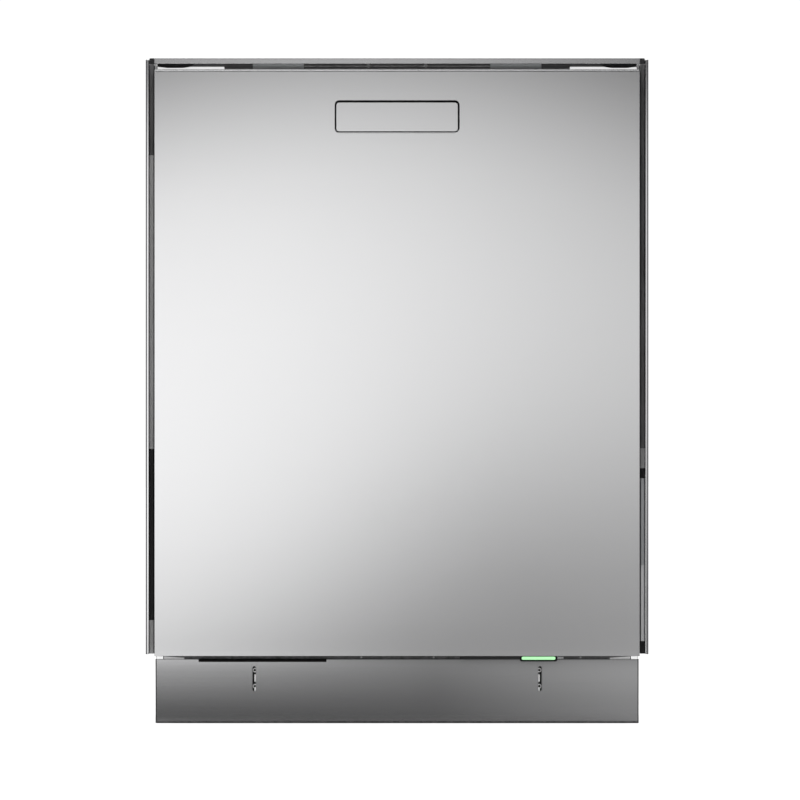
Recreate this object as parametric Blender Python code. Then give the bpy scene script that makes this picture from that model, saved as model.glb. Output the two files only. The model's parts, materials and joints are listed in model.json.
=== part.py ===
"""A built-in dishwasher with a full-height front, made of separate solids.

Metres, +Z up. X runs to the right, the front faces -Y, and the feet stand on z = 0.
The origin is the middle of the footprint on the floor.
"""

import math

import bmesh
import bpy

# Overall size, and the niche trim around the door.
WIDTH = 0.617
HEIGHT = 0.818
DEPTH = 0.570
FRONT = -DEPTH / 2
REAR = DEPTH / 2
GAP = 0.0005

# Door.
DOOR_HALF = 0.298
DOOR_BOTTOM = 0.0834
DOOR_TOP = 0.802
SKIN = 0.0012
SKIN_REAR = FRONT + 0.023
LINER_REAR = -0.237
LINER_FRONT = SKIN_REAR + 0.0008
LINER_BOTTOM = 0.134
LINER_TOP = 0.7765
PANEL_TOP = DOOR_TOP - 0.0008
HINGE_Y = -0.255
HINGE_Z = 0.112

# Handle flap in the door's front.
HANDLE_WIDTH = 0.153
HANDLE_HEIGHT = 0.040
HANDLE_Z = 0.746
HANDLE_RADIUS = 0.0056
FLAP_SIDE_GAP = 0.002
FLAP_TOP_GAP = 0.0027
FLAP_AXIS_Y = FRONT + 0.0035
FLAP_AXIS_Z = HANDLE_Z - HANDLE_HEIGHT / 2 + 0.003

# Tub.
MOUTH_Y = -0.230
TUB_REAR = 0.215
TUB_HALF = 0.272
TUB_BOTTOM = 0.128
TUB_TOP = 0.762
TUB_WALL = 0.002
TUB_FLOOR = TUB_BOTTOM + TUB_WALL
TUB_RADIUS = 0.022
FRAME_HALF = 0.2965
FRAME_TOP = 0.811
FRAME_SHEET = 0.0015
ARM_Y = -0.010

# Casing and base.
PANEL_OUT = 0.2985
PANEL_SHEET = 0.001
CASE_REAR = 0.275
BASE_FLOOR = 0.032
BASE_TOP = 0.098
BASE_FRONT = -0.208
BASE_REAR = 0.272
BASE_WALL = 0.003
PLINTH_HALF = 0.2972
PLINTH_TOP = 0.079
PLINTH_Y = -0.222
SLOT_X = 0.176
SLOT_Z = (0.038, 0.074)
SCREW_Z = 0.0665
FOOT_X = 0.260
FOOT_YS = (-0.185, 0.235)
VALVE_X = -0.210
GLAND_X = 0.175
PORT_Z = 0.070

# Racks.
RACK_FRONT = -0.205
SHEET = 0.0012
WHEEL_RADIUS = 0.0175
WHEEL_X = 0.243
WHEEL_YS = (-0.075, 0.140)
WHEEL_Z = TUB_FLOOR + 0.0005 + WHEEL_RADIUS

# Water parts in the tub.
FILTER_Y = -0.085
FILTER_RADIUS = 0.034
SUMP_Y = -0.045
HUB_RADIUS = 0.013
SALT_X = -0.170
SALT_Y = 0.020
SALT_RADIUS = 0.030

FINISHES = {
    "brushed_steel": ((0.60, 0.60, 0.60), 0.34, 1.0),
    "plinth_steel": ((0.36, 0.36, 0.36), 0.42, 1.0),
    "polished_steel": ((0.70, 0.70, 0.70), 0.12, 1.0),
    "tub_steel": ((0.66, 0.67, 0.68), 0.22, 1.0),
    "zinc_steel": ((0.52, 0.53, 0.54), 0.45, 1.0),
    "black_plastic": ((0.02, 0.02, 0.02), 0.40, 0.0),
    "grey_plastic": ((0.28, 0.29, 0.30), 0.50, 0.0),
    "pale_plastic": ((0.72, 0.73, 0.74), 0.45, 0.0),
    "blue_plastic": ((0.16, 0.25, 0.36), 0.45, 0.0),
    "rubber": ((0.05, 0.05, 0.05), 0.80, 0.0),
    "board": ((0.10, 0.10, 0.11), 0.90, 0.0),
    "coated_wire": ((0.45, 0.46, 0.48), 0.40, 0.0),
    "green_lens": ((0.40, 0.86, 0.42), 0.20, 0.0),
}


def clear_scene():
    for old in list(bpy.data.objects):
        bpy.data.objects.remove(old, do_unlink=True)


def finish_material(name):
    found = bpy.data.materials.get(name)
    if found:
        return found
    colour, roughness, metallic = FINISHES[name]
    made = bpy.data.materials.new(name)
    made.use_nodes = True
    shader = made.node_tree.nodes["Principled BSDF"]
    shader.inputs["Base Color"].default_value = (*colour, 1.0)
    shader.inputs["Roughness"].default_value = roughness
    shader.inputs["Metallic"].default_value = metallic
    return made


# Shapes. Each returns a bmesh of one closed body, in world coordinates.


def block(x0, x1, y0, y1, z0, z1):
    shape = bmesh.new()
    bmesh.ops.create_cube(shape, size=1.0)
    for vert in shape.verts:
        vert.co.x = x1 if vert.co.x > 0 else x0
        vert.co.y = y1 if vert.co.y > 0 else y0
        vert.co.z = z1 if vert.co.z > 0 else z0
    return shape


def side_block(side, inner, outer, y0, y1, z0, z1):
    """A block on the left (side -1) or the right (side 1)."""
    x0, x1 = sorted((side * inner, side * outer))
    return block(x0, x1, y0, y1, z0, z1)


def prism(outline, axis, start, end):
    """Extrudes a 2-D outline along X, Y or Z. The outline's pair is the other two axes in order."""
    places = {
        "X": lambda u, v: (start, u, v),
        "Y": lambda u, v: (u, start, v),
        "Z": lambda u, v: (u, v, start),
    }
    shape = bmesh.new()
    base = shape.faces.new([shape.verts.new(places[axis](u, v)) for u, v in outline])
    grown = bmesh.ops.extrude_face_region(shape, geom=[base])
    step = {"X": (end - start, 0, 0), "Y": (0, end - start, 0), "Z": (0, 0, end - start)}[axis]
    moved = [item for item in grown["geom"] if isinstance(item, bmesh.types.BMVert)]
    bmesh.ops.translate(shape, verts=moved, vec=step)
    bmesh.ops.recalc_face_normals(shape, faces=shape.faces)
    return shape


def arc(centre, radius, first, last, steps):
    """Points along an arc, in degrees, with both ends."""
    points = []
    for step in range(steps + 1):
        angle = math.radians(first + (last - first) * step / steps)
        points.append((centre[0] + radius * math.cos(angle), centre[1] + radius * math.sin(angle)))
    return points


def rounded_rectangle(u0, u1, v0, v1, radius, steps=4):
    corners = (
        ((u1 - radius, v1 - radius), 0),
        ((u0 + radius, v1 - radius), 90),
        ((u0 + radius, v0 + radius), 180),
        ((u1 - radius, v0 + radius), 270),
    )
    outline = []
    for centre, first in corners:
        outline += arc(centre, radius, first, first + 90, steps)
    return outline


def rod(axis, centre, radius, start, end, sides=16):
    """A round bar along X, Y or Z. The centre's pair is the other two axes in order."""
    outline = arc(centre, radius, 0, 360 * (sides - 1) / sides, sides - 1)
    return prism(outline, axis, start, end)


def make(name, finish, shape, add=(), cut=(), pivot=(0.0, 0.0, 0.0), round_piece=False):
    """Makes the object from its first shape, joins the others and cuts the openings."""
    body = bpy.data.objects.new(name, bpy.data.meshes.new(name))
    bpy.context.scene.collection.objects.link(body)
    shape.to_mesh(body.data)
    shape.free()
    for other in add:
        combine(body, other, "UNION")
    for other in cut:
        combine(body, other, "DIFFERENCE")
    for vert in body.data.vertices:
        vert.co = (vert.co[0] - pivot[0], vert.co[1] - pivot[1], vert.co[2] - pivot[2])
    body.location = pivot
    body.data.materials.clear()
    body.data.materials.append(finish_material(finish))
    if round_piece:
        body.data.shade_smooth()
        body.data.set_sharp_from_angle(angle=math.radians(35))
    return body


def combine(body, shape, operation):
    """Joins the shape to the body, or cuts it out of the body, and keeps the result as the mesh."""
    tool = bpy.data.objects.new("tool", bpy.data.meshes.new("tool"))
    bpy.context.scene.collection.objects.link(tool)
    tool.hide_render = True
    tool.display_type = "WIRE"
    shape.to_mesh(tool.data)
    shape.free()
    step = body.modifiers.new("combine", "BOOLEAN")
    step.operation = operation
    step.solver = "EXACT"
    step.object = tool
    graph = bpy.context.evaluated_depsgraph_get()
    result = bpy.data.meshes.new_from_object(body.evaluated_get(graph))
    body.modifiers.clear()
    body.data = result
    bpy.data.objects.remove(tool, do_unlink=True)


# Tub and casing.


def make_tub():
    inner = TUB_HALF - TUB_WALL
    outside = rounded_rectangle(-TUB_HALF, TUB_HALF, TUB_BOTTOM, TUB_TOP, TUB_RADIUS)
    inside = rounded_rectangle(-inner, inner, TUB_FLOOR, TUB_TOP - TUB_WALL, TUB_RADIUS - TUB_WALL)
    ledges = [
        side_block(side, 0.2515, TUB_HALF - TUB_WALL / 2, -0.215, 0.195, 0.672, 0.676)
        for side in (-1, 1)
    ]
    openings = [
        rod("Z", (0.0, FILTER_Y), FILTER_RADIUS + 0.004, 0.10, 0.15, 24),
        rod("Z", (0.0, ARM_Y), HUB_RADIUS + 0.0025, 0.10, 0.15, 16),
        rod("Z", (SALT_X, SALT_Y), SALT_RADIUS + 0.002, 0.10, 0.15, 20),
    ]
    hollow = prism(inside, "Y", MOUTH_Y - 0.01, TUB_REAR - TUB_WALL)
    tub = make(
        "tub",
        "tub_steel",
        prism(outside, "Y", MOUTH_Y, TUB_REAR),
        cut=[hollow] + openings,
        round_piece=True,
    )
    for ledge in ledges:
        combine(tub, ledge, "UNION")
    tub.data.materials.clear()
    tub.data.materials.append(finish_material("tub_steel"))


def arch(inner, outer, bottom, inner_top, outer_top):
    """The outline of two legs and a top bar around the tub's mouth."""
    return [
        (-outer, bottom),
        (-inner, bottom),
        (-inner, inner_top),
        (inner, inner_top),
        (inner, bottom),
        (outer, bottom),
        (outer, outer_top),
        (-outer, outer_top),
    ]


def make_front_frame():
    """The frame around the tub's mouth, with the latch's striker bent out of it, and the seal on it."""
    frame = arch(TUB_HALF + GAP, FRAME_HALF, TUB_BOTTOM, TUB_TOP + GAP, FRAME_TOP)
    striker = block(-0.010, 0.010, -0.248, MOUTH_Y + FRAME_SHEET / 2, 0.784, 0.794)
    make("front_frame", "tub_steel", prism(frame, "Y", MOUTH_Y, MOUTH_Y + FRAME_SHEET), add=[striker])
    inner = TUB_HALF + 0.001
    seal = arch(inner, inner + 0.012, 0.140, TUB_TOP + 0.001, TUB_TOP + 0.012)
    make("door_gasket", "rubber", prism(seal, "Y", LINER_REAR + GAP, MOUTH_Y - GAP))


def make_casing():
    band_half = 0.3043
    band = block(-band_half, band_half, -0.262, -0.200, FRAME_TOP + GAP, HEIGHT)
    strip = block(-DOOR_HALF, DOOR_HALF, -0.246, MOUTH_Y - 0.0015, 0.8047, FRAME_TOP + 0.001)
    make("top_trim", "brushed_steel", band, add=[strip])
    for side, word in ((-1, "left"), (1, "right")):
        outer = WIDTH / 2
        lip = side_block(side, outer - 0.0037, outer, -0.281, -0.228, 0.0858, 0.8159)
        web = side_block(side, PANEL_OUT + 0.0002, outer - 0.003, -0.235, -0.2335, 0.0858, FRAME_TOP)
        make("moulding_" + word, "polished_steel", lip, add=[web])
        sheet = side_block(
            side, PANEL_OUT - PANEL_SHEET, PANEL_OUT, MOUTH_Y + 0.0055, CASE_REAR, 0.100, FRAME_TOP
        )
        make("side_panel_" + word, "zinc_steel", sheet)
    back_half = PANEL_OUT - PANEL_SHEET - GAP
    make(
        "back_panel",
        "zinc_steel",
        block(-back_half, back_half, CASE_REAR - 0.0015, CASE_REAR, 0.100, FRAME_TOP),
    )
    make(
        "top_insulation",
        "board",
        block(-0.2965, 0.2965, MOUTH_Y + 0.003, CASE_REAR - 0.003, 0.799, FRAME_TOP - 0.001),
    )


def make_base():
    side_in = FRAME_HALF - BASE_WALL
    tray = block(-FRAME_HALF, FRAME_HALF, BASE_FRONT, BASE_REAR, BASE_FLOOR, BASE_TOP)
    hollow = block(
        -side_in,
        side_in,
        BASE_FRONT + BASE_WALL,
        BASE_REAR - BASE_WALL,
        BASE_FLOOR + BASE_WALL,
        BASE_TOP + 0.01,
    )
    bosses = []
    holes = []
    for side in (-1, 1):
        for foot_y in FOOT_YS:
            centre = (side * FOOT_X, foot_y)
            bosses.append(rod("Z", centre, 0.013, BASE_FLOOR + 0.001, 0.090, 12))
            holes.append(rod("Z", centre, 0.0056, BASE_FLOOR - 0.01, 0.087, 12))
    ports = [
        rod("Y", (x, PORT_Z), 0.015, BASE_REAR - 0.02, BASE_REAR + 0.01, 16)
        for x in (VALVE_X, GLAND_X)
    ]
    base = make("base_tray", "black_plastic", tray, cut=[hollow])
    for boss in bosses:
        combine(base, boss, "UNION")
    for hole in holes + ports:
        combine(base, hole, "DIFFERENCE")
    base.data.materials.clear()
    base.data.materials.append(finish_material("black_plastic"))


def make_plinth():
    return_rear = BASE_FRONT - 0.0015
    slots = []
    for side in (-1, 1):
        outline = rounded_rectangle(
            side * SLOT_X - 0.0025, side * SLOT_X + 0.0025, SLOT_Z[0], SLOT_Z[1], 0.0024, 3
        )
        slots.append(prism(outline, "Y", PLINTH_Y - 0.01, PLINTH_Y + 0.005))
    hollow = block(
        -PLINTH_HALF + SKIN,
        PLINTH_HALF - SKIN,
        PLINTH_Y + 0.0013,
        return_rear + 0.01,
        -0.01,
        PLINTH_TOP - SKIN,
    )
    make(
        "plinth",
        "plinth_steel",
        block(-PLINTH_HALF, PLINTH_HALF, PLINTH_Y, return_rear, 0.0, PLINTH_TOP),
        cut=[hollow] + slots,
    )
    for side, word in ((-1, "left"), (1, "right")):
        centre = (side * SLOT_X, SCREW_Z)
        make(
            "plinth_screw_" + word,
            "zinc_steel",
            rod("Y", centre, 0.0048, PLINTH_Y - 0.0027, PLINTH_Y - GAP, 12),
            add=[rod("Y", centre, 0.0018, PLINTH_Y - 0.001, BASE_FRONT - GAP, 8)],
            round_piece=True,
        )


def make_feet():
    names = ("front_left", "rear_left", "front_right", "rear_right")
    places = [(side * FOOT_X, foot_y) for side in (-1, 1) for foot_y in FOOT_YS]
    for name, centre in zip(names, places):
        make(
            "foot_" + name,
            "black_plastic",
            rod("Z", centre, 0.018, 0.0, 0.009, 16),
            add=[rod("Z", centre, 0.005, 0.004, 0.085, 12)],
            pivot=(centre[0], centre[1], 0.0),
            round_piece=True,
        )


# Machinery in the base.


def make_machinery():
    make(
        "sump",
        "black_plastic",
        rod("Z", (0.0, SUMP_Y), 0.085, 0.060, TUB_BOTTOM - GAP, 28),
        add=[rod("Z", (0.0, ARM_Y), HUB_RADIUS, 0.100, 0.1495, 16)],
        cut=[rod("Z", (0.0, FILTER_Y), FILTER_RADIUS + 0.002, 0.070, 0.14, 24)],
        round_piece=True,
    )
    make(
        "circulation_pump",
        "grey_plastic",
        rod("X", (0.125, 0.083), 0.040, -0.050, 0.030, 20),
        add=[rod("X", (0.125, 0.083), 0.030, 0.025, 0.100, 16)],
        round_piece=True,
    )
    make(
        "drain_pump",
        "grey_plastic",
        rod("X", (-0.030, 0.075), 0.028, 0.100, 0.125, 16),
        add=[rod("X", (-0.030, 0.075), 0.020, 0.120, 0.180, 16)],
        round_piece=True,
    )
    softener = rounded_rectangle(-0.235, -0.125, -0.060, 0.100, 0.018)
    make(
        "water_softener",
        "pale_plastic",
        prism(softener, "Z", 0.042, TUB_BOTTOM - GAP),
        add=[rod("Z", (SALT_X, SALT_Y), SALT_RADIUS, 0.110, TUB_FLOOR, 20)],
        cut=[rod("Z", (SALT_X, SALT_Y), SALT_RADIUS - 0.003, 0.060, 0.14, 20)],
        round_piece=True,
    )
    make(
        "inlet_valve",
        "pale_plastic",
        block(-0.235, -0.185, 0.225, 0.266, 0.048, 0.092),
        add=[rod("Y", (VALVE_X, PORT_Z), 0.013, 0.260, REAR, 16)],
        round_piece=True,
    )
    make(
        "power_box",
        "grey_plastic",
        block(0.130, 0.220, 0.190, 0.266, 0.045, 0.092),
        add=[rod("Y", (GLAND_X, PORT_Z), 0.010, 0.260, REAR - 0.004, 16)],
        round_piece=True,
    )
    make(
        "water_tank",
        "pale_plastic",
        block(-0.296, -0.274, -0.120, 0.160, 0.200, 0.700),
    )
    make(
        "supply_pipe",
        "grey_plastic",
        block(-0.020, 0.020, 0.199, TUB_REAR - TUB_WALL - GAP, TUB_FLOOR + GAP, 0.745),
        add=[
            block(-0.012, 0.012, ARM_Y, 0.205, 0.7345, 0.745),
            rod("Z", (0.0, ARM_Y), 0.012, 0.7335, 0.745, 16),
        ],
        round_piece=True,
    )


# Racks, rails and wheels.


def basket(half, front, rear, floor, height):
    """The plain sheet outline of a wire basket: an open box with a floor and four walls."""
    return block(-half, half, front, rear, floor, floor + height)


def basket_room(half, front, rear, floor, height):
    """What is cut out of the basket's outline."""
    return block(
        -half + SHEET, half - SHEET, front + SHEET, rear - SHEET, floor + SHEET, floor + height + 0.01
    )


def make_racks():
    hangers = []
    for side in (-1, 1):
        for wheel_y in WHEEL_YS:
            hangers.append(
                side_block(side, 0.2485, 0.2535, wheel_y - 0.006, wheel_y + 0.006, 0.142, 0.1748)
            )
            x0, x1 = sorted((side * 0.2390, side * 0.2500))
            hangers.append(rod("X", (wheel_y, WHEEL_Z), 0.003, x0, x1, 8))
    baskets = {
        "lower_rack": (0.2550, RACK_FRONT, 0.1900, 0.1740, 0.156),
        "upper_rack": (0.2500, RACK_FRONT, 0.1895, 0.4540, 0.106),
        "cutlery_tray": (0.2580, RACK_FRONT, 0.1895, 0.6785, 0.030),
    }
    for name, place in baskets.items():
        made = make(name, "coated_wire", basket(*place), cut=[basket_room(*place)])
        if name == "lower_rack":
            for hanger in hangers:
                combine(made, hanger, "UNION")
            made.data.materials.clear()
            made.data.materials.append(finish_material("coated_wire"))
    make(
        "feed_pipe",
        "grey_plastic",
        block(-0.012, 0.012, ARM_Y, 0.196, 0.4420, 0.4525),
        add=[rod("Z", (0.0, ARM_Y), 0.014, 0.4400, 0.4525, 16)],
        round_piece=True,
    )
    for side, word in ((-1, "left"), (1, "right")):
        channel = [
            (side * 0.2695, 0.500),
            (side * 0.2695, 0.522),
            (side * 0.2560, 0.522),
            (side * 0.2560, 0.518),
            (side * 0.2660, 0.518),
            (side * 0.2660, 0.504),
            (side * 0.2560, 0.504),
            (side * 0.2560, 0.500),
        ]
        make("upper_rail_" + word, "zinc_steel", prism(channel, "Y", -0.215, 0.195))
        for wheel_y, place in zip(WHEEL_YS, ("front", "rear")):
            x0, x1 = sorted((side * (WHEEL_X - 0.004), side * (WHEEL_X + 0.004)))
            make(
                "wheel_" + place + "_" + word,
                "grey_plastic",
                rod("X", (wheel_y, WHEEL_Z), WHEEL_RADIUS, x0, x1, 20),
                cut=[rod("X", (wheel_y, WHEEL_Z), 0.0035, x0 - 0.01, x1 + 0.01, 10)],
                pivot=(side * WHEEL_X, wheel_y, WHEEL_Z),
                round_piece=True,
            )


# Spray arms, filter and salt cap.


def spray_arm(name, length, bottom, thickness, hub_top):
    """A flat arm with round tips, wider at its hub, turning about a vertical axis."""
    tip = 0.012
    hub = 0.026
    lean = math.degrees(math.asin((hub - tip) / (length - tip)))
    outline = arc((length - tip, ARM_Y), tip, -90 + lean, 90 - lean, 6)
    outline += arc((0.0, ARM_Y), hub, 90 - lean, 90 + lean, 2)
    outline += arc((tip - length, ARM_Y), tip, 90 + lean, 270 - lean, 6)
    outline += arc((0.0, ARM_Y), hub, 270 - lean, 270 + lean, 2)
    make(
        name,
        "grey_plastic",
        prism(outline, "Z", bottom, bottom + thickness),
        add=[rod("Z", (0.0, ARM_Y), 0.016, bottom + 0.002, hub_top, 16)],
        pivot=(0.0, ARM_Y, bottom),
        round_piece=True,
    )


def make_water_parts():
    spray_arm("lower_arm", 0.205, 0.1505, 0.011, 0.1645)
    spray_arm("middle_arm", 0.200, 0.4250, 0.011, 0.4390)
    spray_arm("top_arm", 0.150, 0.7190, 0.010, 0.7325)
    plate_z = TUB_FLOOR + 0.0003
    make(
        "filter_plate",
        "tub_steel",
        rod("Z", (0.0, SUMP_Y), 0.095, plate_z, plate_z + 0.0012, 32),
        cut=[
            rod("Z", (0.0, FILTER_Y), FILTER_RADIUS + 0.0025, 0.12, 0.15, 24),
            rod("Z", (0.0, ARM_Y), HUB_RADIUS + 0.0015, 0.12, 0.15, 16),
        ],
        round_piece=True,
    )
    make(
        "filter_cylinder",
        "grey_plastic",
        rod("Z", (0.0, FILTER_Y), FILTER_RADIUS, 0.073, 0.134, 24),
        add=[block(-0.030, 0.030, FILTER_Y - 0.004, FILTER_Y + 0.004, 0.132, 0.147)],
        cut=[rod("Z", (0.0, FILTER_Y), FILTER_RADIUS - 0.003, 0.060, 0.130, 20)],
        pivot=(0.0, FILTER_Y, 0.130),
        round_piece=True,
    )
    make(
        "salt_cap",
        "grey_plastic",
        rod("Z", (SALT_X, SALT_Y), SALT_RADIUS + 0.004, TUB_FLOOR + GAP, 0.138, 20),
        add=[block(SALT_X - 0.028, SALT_X + 0.028, SALT_Y - 0.004, SALT_Y + 0.004, 0.136, 0.146)],
        pivot=(SALT_X, SALT_Y, TUB_FLOOR),
        round_piece=True,
    )


# Door.


def handle_outline(side_gap, bottom_gap, top_gap, radius):
    half = HANDLE_WIDTH / 2 - side_gap
    low = HANDLE_Z - HANDLE_HEIGHT / 2 + bottom_gap
    high = HANDLE_Z + HANDLE_HEIGHT / 2 - top_gap
    return rounded_rectangle(-half, half, low, high, radius, 5)


def make_door_shell():
    skin_hollow = block(
        -DOOR_HALF + SKIN,
        DOOR_HALF - SKIN,
        FRONT + SKIN,
        SKIN_REAR + 0.01,
        DOOR_BOTTOM + SKIN,
        DOOR_TOP - SKIN,
    )
    low_return = block(
        -DOOR_HALF + SKIN, DOOR_HALF - SKIN, FRONT + 0.015, SKIN_REAR + 0.01, 0.07, 0.09
    )
    handle_hole = prism(handle_outline(0, 0, 0, HANDLE_RADIUS), "Y", FRONT - 0.01, FRONT + 0.01)
    make(
        "door_skin",
        "brushed_steel",
        block(-DOOR_HALF, DOOR_HALF, FRONT, SKIN_REAR, DOOR_BOTTOM, DOOR_TOP),
        cut=[skin_hollow, low_return, handle_hole],
    )
    liner_half = DOOR_HALF - 0.0025
    sheet = 0.0015
    liner_hollow = block(
        -liner_half + sheet,
        liner_half - sheet,
        LINER_FRONT - 0.01,
        LINER_REAR - sheet,
        LINER_BOTTOM - 0.01,
        LINER_TOP - sheet,
    )
    dispenser_hole = block(-0.113, 0.073, -0.25, -0.23, 0.437, 0.563)
    make(
        "door_liner",
        "tub_steel",
        block(-liner_half, liner_half, LINER_FRONT, LINER_REAR, LINER_BOTTOM, LINER_TOP),
        cut=[liner_hollow, dispenser_hole],
    )
    for side, word in ((-1, "left"), (1, "right")):
        make_hinge(side, word)


def make_hinge(side, word):
    arm_x = sorted((side * 0.2790, side * 0.2862))
    bracket_x = sorted((side * 0.2867, side * 0.2945))
    pin_x = sorted((side * 0.2850, side * 0.2942))
    eye = (HINGE_Y, HINGE_Z)
    make(
        "hinge_arm_" + word,
        "zinc_steel",
        rod("X", eye, 0.0115, arm_x[0], arm_x[1], 16),
        add=[
            block(arm_x[0], arm_x[1], HINGE_Y - 0.010, HINGE_Y + 0.006, HINGE_Z, HINGE_Z + 0.125),
            rod("X", eye, 0.0040, pin_x[0], pin_x[1], 12),
        ],
        pivot=(side * 0.2826, HINGE_Y, HINGE_Z),
        round_piece=True,
    )
    make(
        "hinge_bracket_" + word,
        "zinc_steel",
        rod("X", eye, 0.0115, bracket_x[0], bracket_x[1], 16),
        add=[
            block(
                bracket_x[0], bracket_x[1], HINGE_Y, -0.110, BASE_TOP + 0.0025, HINGE_Z + 0.0115
            )
        ],
        cut=[rod("X", eye, 0.0045, bracket_x[0] - 0.01, bracket_x[1] + 0.01, 12)],
        round_piece=True,
    )
    make(
        "door_spring_" + word,
        "zinc_steel",
        rod("Y", (side * 0.272, 0.080), 0.009, -0.110, 0.140, 12),
        round_piece=True,
    )


def make_handle():
    inner_half = HANDLE_WIDTH / 2 + 0.0025
    outer_half = inner_half + 0.002
    cavity = block(-inner_half, inner_half, FRONT - 0.01, -0.243, 0.724, 0.7725)
    make(
        "handle_pocket",
        "black_plastic",
        block(-outer_half, outer_half, FRONT + SKIN + GAP, -0.241, 0.722, 0.7744),
        cut=[cavity],
    )
    half = HANDLE_WIDTH / 2 - FLAP_SIDE_GAP
    outline = handle_outline(FLAP_SIDE_GAP, 0.002, FLAP_TOP_GAP, HANDLE_RADIUS - 0.002)
    axis = (FLAP_AXIS_Y, FLAP_AXIS_Z)
    make(
        "handle_flap",
        "brushed_steel",
        prism(outline, "Y", FRONT, FRONT + SKIN),
        add=[
            block(
                -half + 0.005,
                half - 0.005,
                FRONT + SKIN / 2,
                FLAP_AXIS_Y,
                FLAP_AXIS_Z - 0.0005,
                FLAP_AXIS_Z + 0.0015,
            ),
            rod("X", axis, 0.0018, -inner_half + GAP, inner_half - GAP, 10),
        ],
        pivot=(0.0, FLAP_AXIS_Y, FLAP_AXIS_Z),
    )


def make_control_panel():
    half = DOOR_HALF - 0.0025
    rear = LINER_REAR - GAP
    latch_room = block(-0.031, 0.031, LINER_FRONT + 0.001, rear + 0.01, 0.7795, 0.7985)
    wells = []
    for name, x in (("power_button", -0.240), ("start_button", 0.240)):
        slot = rounded_rectangle(x - 0.0104, x + 0.0104, -0.2544, -0.2456, 0.0043)
        cap = rounded_rectangle(x - 0.0100, x + 0.0100, -0.2540, -0.2460, 0.0040)
        wells.append(prism(slot, "Z", 0.7950, PANEL_TOP + 0.01))
        make(
            name,
            "pale_plastic",
            prism(cap, "Z", 0.7970, DOOR_TOP),
            pivot=(x, -0.250, DOOR_TOP),
            round_piece=True,
        )
    make(
        "control_panel",
        "black_plastic",
        block(-half, half, LINER_FRONT, rear, LINER_TOP + GAP, PANEL_TOP),
        cut=[latch_room] + wells,
    )
    make("door_latch", "zinc_steel", block(-0.030, 0.030, -0.2597, -0.2500, 0.780, 0.798))


def make_dispenser():
    flange = block(-0.120, 0.080, LINER_REAR + 0.0004, LINER_REAR + 0.0035, 0.430, 0.570)
    box = block(-0.1125, 0.0725, -0.2590, LINER_REAR + 0.001, 0.4375, 0.5625)
    cup = prism(
        rounded_rectangle(-0.105, -0.015, 0.495, 0.555, 0.012), "Y", -0.2550, LINER_REAR + 0.01
    )
    filler = rod("Y", (0.030, 0.460), 0.0130, -0.2550, LINER_REAR + 0.01, 16)
    make(
        "dispenser_body",
        "grey_plastic",
        flange,
        add=[box],
        cut=[cup, filler],
        round_piece=True,
    )
    lid_front = LINER_REAR + 0.0039
    lid = rounded_rectangle(-0.110, -0.010, 0.489, 0.561, 0.010)
    make("dispenser_lid", "grey_plastic", prism(lid, "Y", lid_front, lid_front + 0.0025))
    make(
        "rinse_cap",
        "blue_plastic",
        rod("Y", (0.030, 0.460), 0.0175, lid_front, lid_front + 0.0050, 20),
        add=[rod("Y", (0.030, 0.460), 0.0105, -0.2480, lid_front + 0.001, 12)],
        pivot=(0.030, lid_front, 0.460),
        round_piece=True,
    )


def make_status_light():
    low = 0.0782
    outline = rounded_rectangle(0.153, 0.1945, low, DOOR_BOTTOM - 0.0003, 0.0012, 3)
    make("status_light", "green_lens", prism(outline, "Y", -0.279, -0.271), round_piece=True)


def build():
    clear_scene()
    make_tub()
    make_front_frame()
    make_casing()
    make_base()
    make_plinth()
    make_feet()
    make_machinery()
    make_racks()
    make_water_parts()
    make_door_shell()
    make_handle()
    make_control_panel()
    make_dispenser()
    make_status_light()


build()
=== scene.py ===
"""Looks of a built-in dishwasher: finishes, baskets, spray arms, trims, lights and camera round the frame.

Everything is in metres in the frame's own axes: X to the right, Y to the rear, Z up, with the floor at z = 0.
"""

import json
import math

import bmesh
import bpy
from mathutils import Matrix, Vector


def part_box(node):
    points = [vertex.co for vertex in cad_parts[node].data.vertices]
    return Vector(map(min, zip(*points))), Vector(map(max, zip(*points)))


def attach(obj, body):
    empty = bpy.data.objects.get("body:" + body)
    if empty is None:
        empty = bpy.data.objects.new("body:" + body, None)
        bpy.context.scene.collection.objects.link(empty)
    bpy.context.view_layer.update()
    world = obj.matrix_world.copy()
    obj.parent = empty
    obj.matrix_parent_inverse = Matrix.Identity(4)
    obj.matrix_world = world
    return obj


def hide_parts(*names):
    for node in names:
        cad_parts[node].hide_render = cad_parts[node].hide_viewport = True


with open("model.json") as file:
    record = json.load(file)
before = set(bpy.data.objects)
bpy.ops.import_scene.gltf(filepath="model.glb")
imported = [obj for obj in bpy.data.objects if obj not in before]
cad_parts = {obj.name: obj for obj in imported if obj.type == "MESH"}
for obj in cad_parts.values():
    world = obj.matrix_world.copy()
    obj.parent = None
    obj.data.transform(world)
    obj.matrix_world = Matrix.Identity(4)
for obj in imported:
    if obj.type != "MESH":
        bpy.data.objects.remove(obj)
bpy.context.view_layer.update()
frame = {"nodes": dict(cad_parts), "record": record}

SIDES = {"left": -1, "right": 1}
TURN = 2 * math.pi
WHITE = (1.0, 1.0, 1.0, 1.0)


# ---------------------------------------------------------------------------------------------------------
# Finishes
# ---------------------------------------------------------------------------------------------------------

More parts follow.
